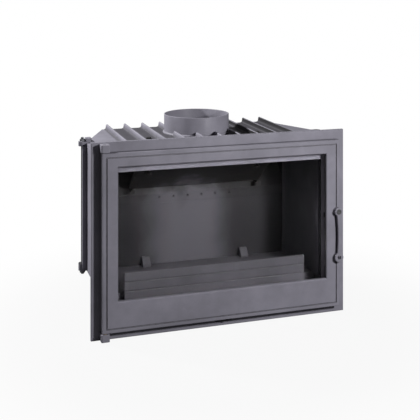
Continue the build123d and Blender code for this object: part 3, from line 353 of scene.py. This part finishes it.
def painted_sheen_band(tree, place):
    part = add(tree, "ShaderNodeSeparateXYZ", Vector=place)
    ragged = add(tree, "ShaderNodeTexNoise", Vector=place, Scale=16.0, Detail=4.0, Roughness=0.55)
    across = maths(tree, "SUBTRACT", part.outputs["X"], torn_by / 2)
    across = maths(tree, "MULTIPLY_ADD", ragged.outputs["Fac"], torn_by, across)
    from_left = ramp(tree, across, *sheen_left)
    from_right = ramp(tree, across, *sheen_right, 0.10, 1.0)
    return maths(tree, "MULTIPLY", from_left, from_right)


# %% Painted shade on the sides of the window and of the mouth
mouth_half = 0.292


def shade_in_mouth_sides(tree, place):
    surface = add(tree, "ShaderNodeNewGeometry")
    facing = add(tree, "ShaderNodeSeparateXYZ", Vector=surface.outputs["True Normal"])
    part = add(tree, "ShaderNodeSeparateXYZ", Vector=place)
    sideways = ramp(tree, maths(tree, "ABSOLUTE", facing.outputs["X"]), 0.6, 0.9)
    inside = ramp(tree, maths(tree, "ABSOLUTE", part.outputs["X"]), mouth_half + 0.002, mouth_half)
    return maths(tree, "MULTIPLY", sideways, inside)


# %% Patched irons
# The fire side's black is the iron's own colour; the valleys and the sides of the window and the mouth are
# painted shade, and the pale band on the fireback is a painted highlight.
fire_black = (on_fire_side, (0.016, 0.015, 0.017))
painted_mouth_shade = (shade_in_mouth_sides, (0.010, 0.010, 0.011))
painted_valley_shade = (shade_in_valleys, (0.045, 0.043, 0.050))
painted_sheen = (painted_sheen_band, (0.120, 0.116, 0.133))
framing_iron = painted_iron("framing_iron", dust=0.06, patches=[painted_mouth_shade], **outer)
shell_iron = painted_iron("shell_iron", dust=0.06, patches=[fire_black], **outer)
ribbed_iron = painted_iron("ribbed_iron", dust=0.03, patches=[fire_black, painted_valley_shade], **outer)
# This finish paints the fireback, the air panel, the baffle and its hooks nearly black: the upper parts as
# painted shade, and a pale band down the fireback's middle as a painted highlight for the key lamp's
# sheen.
swept_iron = painted_iron("swept_iron", colour=(0.014, 0.0135, 0.016), rubbed=(0.16, 0.155, 0.17),
                          rough=0.60, grains=560.0, depth=0.00024, wear=0.10, dust=0.0, soot_and_shade=0.93,
                          soot_range=(0.27, 0.35), patches=[painted_sheen])
print("patched iron:", framing_iron.name, shell_iron.name, ribbed_iron.name, swept_iron.name)

# %% [markdown]
# ### Black sheet steel
#
# The base and the ash pan are steel sheet, sprayed matt black. Rolled sheet has no cast grain: its
# surface shows the faint orange peel of the spray and fine scuffs along the edges.

# %% Black sheet steel
black_sheet, tree, shader, place = new_finish("black_sheet")
peel = add(tree, "ShaderNodeTexNoise", Vector=place, Scale=420.0, Detail=2.0, Roughness=0.45)
haze = add(tree, "ShaderNodeTexNoise", Vector=place, Scale=9.0, Detail=5.0, Roughness=0.6)
worn = use(tree, wear_group, Vector=place, Amount=0.5, Reach=0.0018)[0]
lain = use(tree, settled_group, Vector=place)
base = mix(tree, haze.outputs["Fac"], (0.030, 0.030, 0.034), (0.062, 0.061, 0.067))
base = mix(tree, maths(tree, "MULTIPLY", lain["Dust"], 0.3), base, (0.36, 0.35, 0.33))
tree.links.new(mix(tree, worn, base, (0.24, 0.235, 0.23)), shader.inputs["Base Color"])
tree.links.new(ramp(tree, haze.outputs["Fac"], 0.3, 0.7, 0.62, 0.48), shader.inputs["Roughness"])
tree.links.new(bump(tree, peel.outputs["Fac"], 0.00010), shader.inputs["Normal"])
print("black sheet:", len(tree.nodes), "nodes")

# %% [markdown]
# ### Zinc-plated steel
#
# Rods, nuts and screws come zinc plated. Zinc freezes in small crystals that catch the light one by
# one, so the colour steps from cell to cell, and it dulls to a grey bloom as it ages.

# %% Zinc-plated steel
zinc, tree, shader, place = new_finish("zinc_plate")
spangle = add(tree, "ShaderNodeTexVoronoi", Vector=place, Scale=520.0)
tint = add(tree, "ShaderNodeSeparateColor", Color=spangle.outputs["Color"])
bloom = add(tree, "ShaderNodeTexNoise", Vector=place, Scale=70.0, Detail=5.0, Roughness=0.7)
worn = use(tree, wear_group, Vector=place, Amount=0.6, Reach=0.0008)[0]
base = mix(tree, tint.outputs[0], (0.17, 0.172, 0.185), (0.30, 0.305, 0.32))
base = mix(tree, ramp(tree, bloom.outputs["Fac"], 0.42, 0.68), base, (0.12, 0.12, 0.13))
tree.links.new(mix(tree, worn, base, (0.42, 0.42, 0.44)), shader.inputs["Base Color"])
tree.links.new(ramp(tree, bloom.outputs["Fac"], 0.35, 0.7, 0.34, 0.58), shader.inputs["Roughness"])
tree.links.new(bump(tree, bloom.outputs["Fac"], 0.00004), shader.inputs["Normal"])
shader.inputs["Metallic"].default_value = 0.9
print("zinc:", len(tree.nodes), "nodes")

# %% [markdown]
# ### Brass
#
# The two thrust washers are brass, which runs against iron without grease. Turned brass keeps the
# fine rings of the lathe, and warms to brown where no shoe rubs it.

# %% Turned brass
brass, tree, shader, place = new_finish("turned_brass")
rings = add(tree, "ShaderNodeTexWave", {"wave_type": "RINGS", "rings_direction": "Z"}, Vector=place,
            Scale=700.0, Distortion=1.0, Detail=2.0)
stain = add(tree, "ShaderNodeTexNoise", Vector=place, Scale=160.0, Detail=4.0, Roughness=0.6)
tree.links.new(mix(tree, stain.outputs["Fac"], (0.70, 0.52, 0.24), (0.42, 0.27, 0.12)),
               shader.inputs["Base Color"])
tree.links.new(ramp(tree, stain.outputs["Fac"], 0.3, 0.7, 0.26, 0.46), shader.inputs["Roughness"])
tree.links.new(bump(tree, rings.outputs["Fac"], 0.00003), shader.inputs["Normal"])
shader.inputs["Metallic"].default_value = 1.0
print("brass:", len(tree.nodes), "nodes")

# %% [markdown]
# ### Glass ceramic
#
# The pane is glass ceramic, which doesn't stretch with heat. It is clear with a trace of smoke, and
# carries the faint haze of wiped soot. A thin pane bends light so little that what matters is that
# light gets in: shadow rays pass nearly all of it, or the firebox would be as black as behind a wall.

# %% Glass ceramic
glass, tree, shader, place = new_finish("glass_ceramic")
smear = add(tree, "ShaderNodeTexNoise", Vector=place, Scale=7.0, Detail=4.0, Roughness=0.55,
            Distortion=1.2)
tree.links.new(mix(tree, smear.outputs["Fac"], (0.945, 0.94, 0.945), (0.975, 0.97, 0.975)),
               shader.inputs["Base Color"])
tree.links.new(ramp(tree, smear.outputs["Fac"], 0.45, 0.75, 0.0, 0.035), shader.inputs["Roughness"])
rays = add(tree, "ShaderNodeLightPath")
shadow_let_through = 0.92
tree.links.new(maths(tree, "MULTIPLY_ADD", rays.outputs["Is Shadow Ray"], -shadow_let_through, 1.0),
               shader.inputs["Alpha"])
shader.inputs["Transmission Weight"].default_value = 1.0
shader.inputs["IOR"].default_value = 1.09
print("glass:", len(tree.nodes), "nodes")

# %% [markdown]
# ### Glass-fibre rope and tape
#
# The door closes against a soft rope knitted from glass fibre, and the pane lies in a flat tape of
# the same yarn. It is graphite grey, quite dull, and each yarn is a bundle of hair-fine threads. A
# fine noise draws the threads, and a grid of small square cells the weave.

# %% Glass-fibre yarn
yarn, tree, shader, place = new_finish("glass_fibre")
threads = add(tree, "ShaderNodeTexNoise", Vector=place, Scale=2600.0, Detail=2.0, Roughness=0.6)
fade = add(tree, "ShaderNodeTexNoise", Vector=place, Scale=60.0, Detail=4.0, Roughness=0.6)
weave = add(tree, "ShaderNodeTexVoronoi", {"distance": "CHEBYCHEV"}, Vector=place, Scale=900.0,
            Randomness=0.3)
base = mix(tree, fade.outputs["Fac"], (0.11, 0.11, 0.118), (0.20, 0.20, 0.21))
tree.links.new(mix(tree, threads.outputs["Fac"], base, (0.30, 0.30, 0.31), "SOFT_LIGHT"),
               shader.inputs["Base Color"])
tree.links.new(ramp(tree, fade.outputs["Fac"], 0.3, 0.7, 0.85, 0.96), shader.inputs["Roughness"])
lift = maths(tree, "MULTIPLY_ADD", weave.outputs["Distance"], -0.8, threads.outputs["Fac"])
tree.links.new(bump(tree, lift, 0.00018), shader.inputs["Normal"])
shader.inputs["Sheen Weight"].default_value = 0.25
print("yarn:", len(tree.nodes), "nodes")

# %% Which finish each slot takes, and which nodes have their own
finish_of = {"outer_cast_iron": outer_iron, "fire_cast_iron": fire_iron, "black_steel": black_sheet,
             "zinc_steel": zinc, "brass": brass, "ceramic_glass": glass, "glass_fibre": yarn}
nodes_of_finish = [
    (framing_iron, ("front_frame", "door_frame")),
    (shell_iron, ("side_plate_right", "side_plate_left", "back_plate", "bottom_plate")),
    (ribbed_iron, ("top_plate",)),
    (swept_iron, ("fireback", "air_panel", "smoke_baffle", "throat_plate", "baffle_hooks",
                  "baffle_hangers")),
    # The latch screw is painted black: painted shade for the dark socket in its head.
    (black_sheet, ("latch_screw",)),
]
special = {node: finish for finish, nodes in nodes_of_finish for node in nodes}
for node, solid in frame["nodes"].items():
    solid.data.materials.clear()
    solid.data.materials.append(special.get(node, finish_of[slot_of[node]]))
print("finishes on", len(frame["nodes"]), "nodes")

# %% [markdown]
# ## Rounded castings
#
# No casting has a knife edge: the pattern is rounded so that the sand doesn't crumble, and the edge
# is dressed with a file. A solid model leaves edges sharp, and sharp edges look like paper, because
# it is the thin bright line along a rounded edge that tells the eye how a thing was made. Each
# casting is therefore copied, its loose triangles are joined and its flat faces cleared, and a Bevel
# modifier rounds what is sharper than 30 degrees. The copy then stands for the solid.

# %% A piece that goes with a node
def goes_with(made, node):
    """The piece moves with a node's body."""
    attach(made, body_of[node])


# %% Copy a node with joined faces and rounded edges
sharp_angle, flat_angle, same_point = math.radians(30.0), math.radians(0.5), 0.00002


def rounded_copy(node, edge, steps=2, weigh=None):
    """A copy of a node with rounded edges, in its place and on its body. The width is in millimetres.

    weigh(middle of the edge) may give an edge its share of the width, from 0 to 1."""
    made = new_object(node + "_cast", frame["nodes"][node].data.copy())
    work = bmesh.new()
    work.from_mesh(made.data)
    bmesh.ops.remove_doubles(work, verts=work.verts, dist=same_point)
    bmesh.ops.dissolve_limit(work, angle_limit=flat_angle, verts=work.verts, edges=work.edges)
    share = work.edges.layers.float.new("bevel_weight_edge")
    for side in work.edges:
        sharp = len(side.link_faces) == 2 and side.calc_face_angle(0.0) > sharp_angle
        middle = (side.verts[0].co + side.verts[1].co) / 2
        side[share] = (weigh(middle) if weigh else 1.0) if sharp else 0.0
        side.smooth = True
    for face in work.faces:
        face.smooth = True
    work.to_mesh(made.data)
    work.free()
    if made.data.has_custom_normals:
        made.data.attributes.remove(made.data.attributes["custom_normal"])
    rounding = made.modifiers.new("rounding", "BEVEL")
    rounding.width, rounding.segments, rounding.limit_method = edge / 1000, steps, "WEIGHT"
    rounding.use_clamp_overlap, rounding.harden_normals = True, True
    rounding.miter_outer = "MITER_ARC"
    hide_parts(node)
    goes_with(made, node)


# %% [markdown]
# The widths are in millimetres. Thick castings have generous edges, machined and folded parts have
# small ones. The door is a case of its own: a bead runs round it, so its outer edge and the outer lip
# of its groove are rounded more than three times as much as the rest.

# %% The door's bead
door_low, door_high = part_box("door_frame")
bead_width, front_depth, share_elsewhere = 0.0095, 0.0005, 0.28


def bead_share(middle):
    """Full width on the door's outer front edge, less elsewhere."""
    rim = min(middle.x - door_low.x, door_high.x - middle.x, middle.z - door_low.z, door_high.z - middle.z)
    at_front = middle.y < door_low.y + front_depth
    return 1.0 if at_front and rim < bead_width else share_elsewhere


# %% Round the castings
rounded_widths = {
    "front_frame": 1.2, "top_plate": 1.2, "side_plate_right": 1.2, "side_plate_left": 1.2,
    "back_plate": 1.2, "bottom_plate": 1.2, "flue_collar": 1.0, "hinge_bracket_upper": 1.0,
    "hinge_bracket_lower": 1.0, "latch_lever": 1.2, "hearth_plate": 1.4, "side_liner_right": 1.6,
    "side_liner_left": 1.6, "fireback": 2.0, "fireback_lugs": 2.0, "log_guard": 1.2, "grate": 1.2,
    "base_casing": 0.8, "ash_shelf": 0.8, "ash_pan": 0.6, "pan_pull": 0.4, "air_panel": 0.6,
    "throat_plate": 0.6, "smoke_baffle": 1.0, "baffle_hooks": 0.6, "baffle_hangers": 0.6,
    "glass_clips": 0.4, "latch_tongue": 0.6, "latch_keeper": 0.4, "air_slider": 0.4, "slider_guides": 0.3,
    "tie_rods": 0.4, "frame_bolts": 0.4, "hinge_bolts": 0.3, "back_bolts": 0.4, "tie_nuts": 0.4,
    "latch_nut": 0.4, "latch_screw": 0.4, "clip_screws": 0.25, "hinge_pin_upper": 0.3,
    "hinge_pin_lower": 0.3,
}
for node, width in rounded_widths.items():
    rounded_copy(node, width)
rounded_copy("door_frame", 3.2, steps=3, weigh=bead_share)
print("rounded", len(rounded_widths) + 1, "pieces")

# %% [markdown]
# ## Threaded ends
#
# Two rods on the outside clamp the top plate, the side plates and the bottom plate together. Their
# threads are rolled, so they stand a little proud of the shank, and show for a few millimetres past
# each nut. A thread is a groove that follows a helix, a shape with a rule, so Geometry Nodes make it:
# a helix is swept with a small four-sided tooth, stood on each point that it is given, and its sizes
# stay inputs.

# %% Start a geometry tree, and end it
def geometry_tree(name, inputs):
    """A tree whose last input is the finish."""
    geometry, finish = ("Geometry", "NodeSocketGeometry"), ("Finish", "NodeSocketMaterial", None)
    return new_group(name, "GeometryNodeTree", [(*geometry, None), *inputs, finish], [geometry])


def end_tree(tree, made, given, out):
    """Make the instances real, give them the finish and hand them out."""
    real = add(tree, "GeometryNodeRealizeInstances", Geometry=made.outputs[0])
    done = add(tree, "GeometryNodeSetMaterial", Geometry=real.outputs[0], Material=given["Finish"])
    tree.links.new(done.outputs[0], out[0])
    print(tree.name + ":", len(tree.nodes), "nodes")


# %% Geometry tree: a threaded sleeve on each point
thread_tree, given, out = geometry_tree("threaded_sleeve", [
    ("Radius", NUMBER, 0.004), ("Length", NUMBER, 0.006), ("Pitch", NUMBER, 0.00125)])
tooth_r = maths(thread_tree, "MULTIPLY", given["Pitch"], 0.45)
rise = maths(thread_tree, "SUBTRACT", given["Length"], maths(thread_tree, "MULTIPLY", tooth_r, 2.0))
turns = maths(thread_tree, "DIVIDE", rise, given["Pitch"])
helix = add(thread_tree, "GeometryNodeCurveSpiral", Resolution=24, Rotations=turns,
            Start_Radius=given["Radius"], End_Radius=given["Radius"], Height=rise)
tooth = add(thread_tree, "GeometryNodeCurvePrimitiveCircle", Resolution=4, Radius=tooth_r)
thread = add(thread_tree, "GeometryNodeCurveToMesh", Curve=helix.outputs[0],
             Profile_Curve=tooth.outputs[0], Fill_Caps=True)
lifted = add(thread_tree, "GeometryNodeTransform", Geometry=thread.outputs[0],
             Translation=add(thread_tree, "ShaderNodeCombineXYZ", Z=tooth_r).outputs[0])
stood = add(thread_tree, "GeometryNodeInstanceOnPoints", Points=given["Geometry"],
            Instance=lifted.outputs[0])
end_tree(thread_tree, stood, given, out)


# %% Turn a geometry tree into a plain mesh
def grown(name, points, edges, tree, **values):
    """Run a tree on a mesh of points and edges, and keep what it makes as a plain mesh."""
    seed = bpy.data.meshes.new(name + "_seed")
    seed.from_pydata([tuple(p) for p in points], edges, [])
    holder = new_object(name + "_seed", seed)
    nodes = holder.modifiers.new("nodes", "NODES")
    nodes.node_group = tree
    for item in tree.interface.items_tree:
        key = item.name.replace(" ", "_")
        if item.in_out == "INPUT" and key in values:
            nodes[item.identifier] = values[key]
    grown_holder = holder.evaluated_get(bpy.context.evaluated_depsgraph_get())
    mesh = bpy.data.meshes.new_from_object(grown_holder)
    bpy.data.objects.remove(holder)
    return new_object(name, mesh)


def smooth(made):
    for face in made.data.polygons:
        face.use_smooth = True


# %% Thread the tie rods' three nutted ends
rod_low, rod_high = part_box("tie_rods")
rod_r, rod_x, rod_y = 0.004, 0.345, (rod_low.y + rod_high.y) / 2
thread_length, thread_pitch, chamfer = 0.006, 0.00125, 0.0003
ends = [(side * rod_x, rod_y, rod_low.z + chamfer) for side in (-1, 1)]
ends.append((-rod_x, rod_y, rod_high.z - chamfer - thread_length))
threads = grown("tie_rod_threads", ends, [], thread_tree, Radius=rod_r, Length=thread_length,
                Pitch=thread_pitch, Finish=zinc)
threads.data.set_sharp_from_angle(angle=math.radians(35))
goes_with(threads, "tie_rods")
print("threads:", len(threads.data.polygons), "faces, rods", rod_low, rod_high)

# %% [markdown]
# ## Weld beads
#
# The steel base is cut from flat sheets and welded along its outer edges. A weld is laid down drop by
# drop, and each drop freezes as a small scale that overlaps the one before. That is a row of equal
# shapes along a path, so Geometry Nodes make it: the seams are given as bare edges, each is divided
# by the length of one drop, and a flattened ball stands on every point, turned along the seam.

# %% Geometry tree: drops of weld along edges
weld_tree, given, out = geometry_tree("weld_bead", [
    ("Drop", NUMBER, 0.0026), ("Across", NUMBER, 0.0022), ("Lean", NUMBER, 0.5),
    ("Seed", "NodeSocketInt", 3)])
seams = add(weld_tree, "GeometryNodeMeshToCurve", Mesh=given["Geometry"])
drops = add(weld_tree, "GeometryNodeResampleCurve", {"mode": "LENGTH"}, Curve=seams.outputs[0],
            Length=given["Drop"])
tangent = add(weld_tree, "GeometryNodeInputTangent").outputs[0]
turned = add(weld_tree, "FunctionNodeAlignRotationToVector", {"axis": "Z"}, Vector=tangent)
lean = add(weld_tree, "ShaderNodeCombineXYZ", X=given["Lean"])
lean = add(weld_tree, "FunctionNodeEulerToRotation", Euler=lean.outputs[0])
leaned = add(weld_tree, "FunctionNodeRotateRotation", {"rotation_space": "LOCAL"},
             Rotation=turned.outputs[0], Rotate_By=lean.outputs[0])
ball = add(weld_tree, "GeometryNodeMeshIcoSphere", Radius=given["Across"], Subdivisions=2)
flat = add(weld_tree, "GeometryNodeTransform", Geometry=ball.outputs[0], Scale=(1.0, 1.0, 0.62))
uneven = add(weld_tree, "FunctionNodeRandomValue", {"data_type": "FLOAT"}, in2=0.86, in3=1.12,
             Seed=given["Seed"])
laid = add(weld_tree, "GeometryNodeInstanceOnPoints", Points=drops.outputs[0], Instance=flat.outputs[0],
           Rotation=leaned.outputs[0], Scale=uneven.outputs[1])
end_tree(weld_tree, laid, given, out)

# %% Weld the base along its outer edges
well_inside, near = 0.02, 0.0002
seam_front, foot_height, corner_low, below_top = 0.012, 0.0045, 0.009, 0.003
rear_y, casing_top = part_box("base_casing")[1].yz
corners = [v.co for v in frame["nodes"]["base_casing"].data.vertices if v.co.z > well_inside]
side_x = max(c.x for c in corners if c.y > well_inside)
bend_y = max(c.y for c in corners if c.x > side_x - near)
rear_x = max(c.x for c in corners if c.y > rear_y - near)
outline = [(side_x, seam_front), (side_x, bend_y), (rear_x, rear_y)]
outline += [(-x, y) for x, y in reversed(outline)]
seam_points = [(x, y, foot_height) for x, y in outline]
seam_edges = [(i, i + 1) for i in range(len(outline) - 1)]
for x, y in outline[1:-1]:
    seam_points += [(x, y, corner_low), (x, y, casing_top - below_top)]
    seam_edges.append((len(seam_points) - 2, len(seam_points) - 1))
welds = grown("base_welds", seam_points, seam_edges, weld_tree, Drop=0.0026, Across=0.0022, Lean=0.5,
              Seed=3, Finish=black_sheet)
smooth(welds)
goes_with(welds, "base_casing")
print("welds:", len(welds.data.polygons), "faces, bend at y", round(bend_y, 4), "rear x", round(rear_x, 4))

# %% [markdown]
# ## Knitted door rope
#
# The seal is a rope of glass fibre in a channel round the door's back. Knitted rope is a ring of
# strands, half of them winding one way and half the other, each passing over and under the rest. It
# follows a path and repeats, so Geometry Nodes make it: a rounded rectangle is divided into short
# steps, copied once for each strand, and every copy is pushed off the middle by an angle that grows
# along the path. A whole number of turns makes each strand close on itself without a seam.

# %% Geometry tree: a knitted rope round a rectangle
rope_tree, given, out = geometry_tree("knitted_rope", [
    ("Width", NUMBER, 0.6), ("Height", NUMBER, 0.4), ("Corner", NUMBER, 0.02), ("Across", NUMBER, 0.003),
    ("Deep", NUMBER, 0.004), ("Strand", NUMBER, 0.001), ("Strands", "NodeSocketInt", 8),
    ("Turns", "NodeSocketInt", 100), ("Step", NUMBER, 0.002), ("Centre", VECTOR, None)])
frame_path = add(rope_tree, "GeometryNodeCurvePrimitiveQuadrilateral", Width=given["Width"],
                 Height=given["Height"])
soft_path = add(rope_tree, "GeometryNodeFilletCurve", {"mode": "POLY"}, Curve=frame_path.outputs[0],
                Radius=given["Corner"], Count=8)
upright = add(rope_tree, "GeometryNodeTransform", Geometry=soft_path.outputs[0],
              Translation=given["Centre"], Rotation=(math.pi / 2, 0, 0))
stepped = add(rope_tree, "GeometryNodeResampleCurve", {"mode": "LENGTH"}, Curve=upright.outputs[0],
              Length=given["Step"])
copies = add(rope_tree, "GeometryNodeDuplicateElements", {"domain": "SPLINE"}, Geometry=stepped.outputs[0],
             Amount=given["Strands"])

# %% Wind the strands, half of them each way
along = add(rope_tree, "GeometryNodeSplineParameter").outputs["Factor"]
which = copies.outputs["Duplicate Index"]
way = maths(rope_tree, "MULTIPLY", maths(rope_tree, "MODULO", which, 2.0), 2.0)
way = maths(rope_tree, "SUBTRACT", way, 1.0)
wound = maths(rope_tree, "MULTIPLY", maths(rope_tree, "MULTIPLY", along, given["Turns"]), way)
phase = maths(rope_tree, "ADD", wound, maths(rope_tree, "DIVIDE", which, given["Strands"]))
turn = maths(rope_tree, "MULTIPLY", phase, 2 * math.pi)
crossing = 0.12
over = maths(rope_tree, "SINE", maths(rope_tree, "MULTIPLY", turn, 2.0))
over = maths(rope_tree, "MULTIPLY", over, crossing)
swell = maths(rope_tree, "ADD", 1.0 - crossing, maths(rope_tree, "MULTIPLY", over, way))
tangent = add(rope_tree, "GeometryNodeInputTangent").outputs[0]
outward = add(rope_tree, "ShaderNodeVectorMath", {"operation": "CROSS_PRODUCT"}, in0=tangent,
              in1=(0, 1, 0))
side_push = maths(rope_tree, "MULTIPLY", maths(rope_tree, "COSINE", turn), swell)
side_push = maths(rope_tree, "MULTIPLY", side_push, given["Across"])
deep_push = maths(rope_tree, "MULTIPLY", maths(rope_tree, "SINE", turn), swell)
deep_push = maths(rope_tree, "MULTIPLY", deep_push, given["Deep"])
sideways = add(rope_tree, "ShaderNodeVectorMath", {"operation": "SCALE"}, in0=outward.outputs[0],
               Scale=side_push)
offset = add(rope_tree, "ShaderNodeVectorMath", in0=sideways.outputs[0],
             in1=add(rope_tree, "ShaderNodeCombineXYZ", Y=deep_push).outputs[0])
pushed = add(rope_tree, "GeometryNodeSetPosition", Geometry=copies.outputs[0], Offset=offset.outputs[0])
strand = add(rope_tree, "GeometryNodeCurvePrimitiveCircle", Resolution=5, Radius=given["Strand"])
swept = add(rope_tree, "GeometryNodeCurveToMesh", Curve=pushed.outputs[0], Profile_Curve=strand.outputs[0])
end_tree(rope_tree, swept, given, out)

# %% The rope in its channel
low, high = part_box("door_rope")
rope_across, strand_r = 0.008, 0.00125
rope_deep = high.y - low.y
rope = grown("door_rope_knitted", [(0, 0, 0)], [], rope_tree,
             Width=high.x - low.x - rope_across, Height=high.z - low.z - rope_across, Corner=0.016,
             Across=rope_across / 2 - strand_r, Deep=rope_deep / 2 - strand_r, Strand=strand_r,
             Strands=8, Turns=150, Step=0.0024, Finish=yarn,
             Centre=(0.0, (low.y + high.y) / 2, (low.z + high.z) / 2))
smooth(rope)
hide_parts("door_rope")
goes_with(rope, "door_rope")
print("rope:", len(rope.data.polygons), "faces")

# %% [markdown]
# ## The studio
#
# The photograph is a product picture on white: the camera stands to the left of the middle, well
# above the insert, with a long lens. In the picture the uprights are parallel although the top is
# seen from above. That is what a level camera does whose lens is shifted down, so no pitch is given.

# %% Camera
camera = new_object("camera", bpy.data.cameras.new("camera"))
yaw_right = math.radians(17.55)
camera.location, camera.rotation_euler = (-0.717, -2.158, 0.897), (math.pi / 2, 0.0, -yaw_right)
camera.data.lens, camera.data.sensor_width, camera.data.shift_y = 73.73, 36.0, -0.535
camera.data.clip_end = 50.0
bpy.context.scene.camera = camera
print("camera at", tuple(camera.location))

# %% [markdown]
# The floor is matt and keeps the insert's soft shadow. It is whitened for the camera only, so no more
# light falls on the object for it. The sky is white for the camera, also through the glass, a dim grey
# for what paint and metal reflect, and a dimmer dome for the light it gives. Light that has left a
# surface of the firebox and passes the glass also counts as a transmission ray, and would find a white
# room outside that isn't there, so only rays that never bounced see the white.

# %% What the camera sees straight or through glass
def seen_by_camera(tree):
    rays = add(tree, "ShaderNodeLightPath")
    direct = maths(tree, "MAXIMUM", rays.outputs["Is Camera Ray"], rays.outputs["Is Transmission Ray"])
    bounced = maths(tree, "GREATER_THAN", rays.outputs["Diffuse Depth"], 0.5)
    return maths(tree, "SUBTRACT", direct, bounced, clamp=True), rays


# %% Floor
floor_mesh = bpy.data.meshes.new("floor")
reach = 6.0
floor_corners = [(-reach, -reach, 0), (reach, -reach, 0), (reach, reach, 0), (-reach, reach, 0)]
floor_mesh.from_pydata(floor_corners, [], [(0, 1, 2, 3)])
floor = new_object("floor", floor_mesh)
floor_finish = bpy.data.materials.new("studio_floor")
floor_finish.use_nodes = True
tree = floor_finish.node_tree
shader = tree.nodes["Principled BSDF"]
shader.inputs["Base Color"].default_value = (0.12, 0.12, 0.122, 1)
shader.inputs["Roughness"].default_value = 0.9
place = add(tree, "ShaderNodeTexCoord").outputs["Object"]
away = add(tree, "ShaderNodeVectorMath", {"operation": "LENGTH"}, in0=place)
shadow_reach, white_from, under_white = 0.40, 0.95, 0.93
whitened = ramp(tree, away.outputs["Value"], shadow_reach, white_from, under_white, 1.0)
seen = maths(tree, "MULTIPLY", seen_by_camera(tree)[0], whitened)
white = add(tree, "ShaderNodeEmission", Color=(1, 1, 1, 1), Strength=1.0)
both = add(tree, "ShaderNodeMixShader", in0=seen, in1=shader.outputs[0], in2=white.outputs[0])
tree.links.new(both.outputs[0], tree.nodes["Material Output"].inputs["Surface"])
floor_mesh.materials.append(floor_finish)

# %% Sky
world = bpy.data.worlds.new("studio")
bpy.context.scene.world = world
world.use_nodes = True
tree = world.node_tree
shown, rays = seen_by_camera(tree)
dome_light, reflected_more = 0.03, 0.15
dome = maths(tree, "MULTIPLY_ADD", rays.outputs["Is Glossy Ray"], reflected_more, dome_light)
dome = maths(tree, "MAXIMUM", dome, shown)
tree.links.new(dome, tree.nodes["Background"].inputs["Strength"])
tree.nodes["Background"].inputs["Color"].default_value = (1, 1, 1, 1)

# %% Lamps
bpy.context.scene.view_settings.view_transform = "Standard"


def lamp(name, place, target, size, power):
    """A square lamp that looks at its target. Places and size are in metres, power in watts."""
    made = new_object(name, bpy.data.lights.new(name, "AREA"))
    made.location = place
    made.rotation_euler = (Vector(target) - Vector(place)).to_track_quat("-Z", "Y").to_euler()
    made.data.size, made.data.energy = size, power


lamp("key", place=(0.58, -1.32, 0.86), target=(0.0, 0.0, 0.3), size=0.16, power=21.6)
lamp("top_left", place=(-1.6, 1.2, 1.85), target=(0.0, 0.15, 0.45), size=0.25, power=95.0)
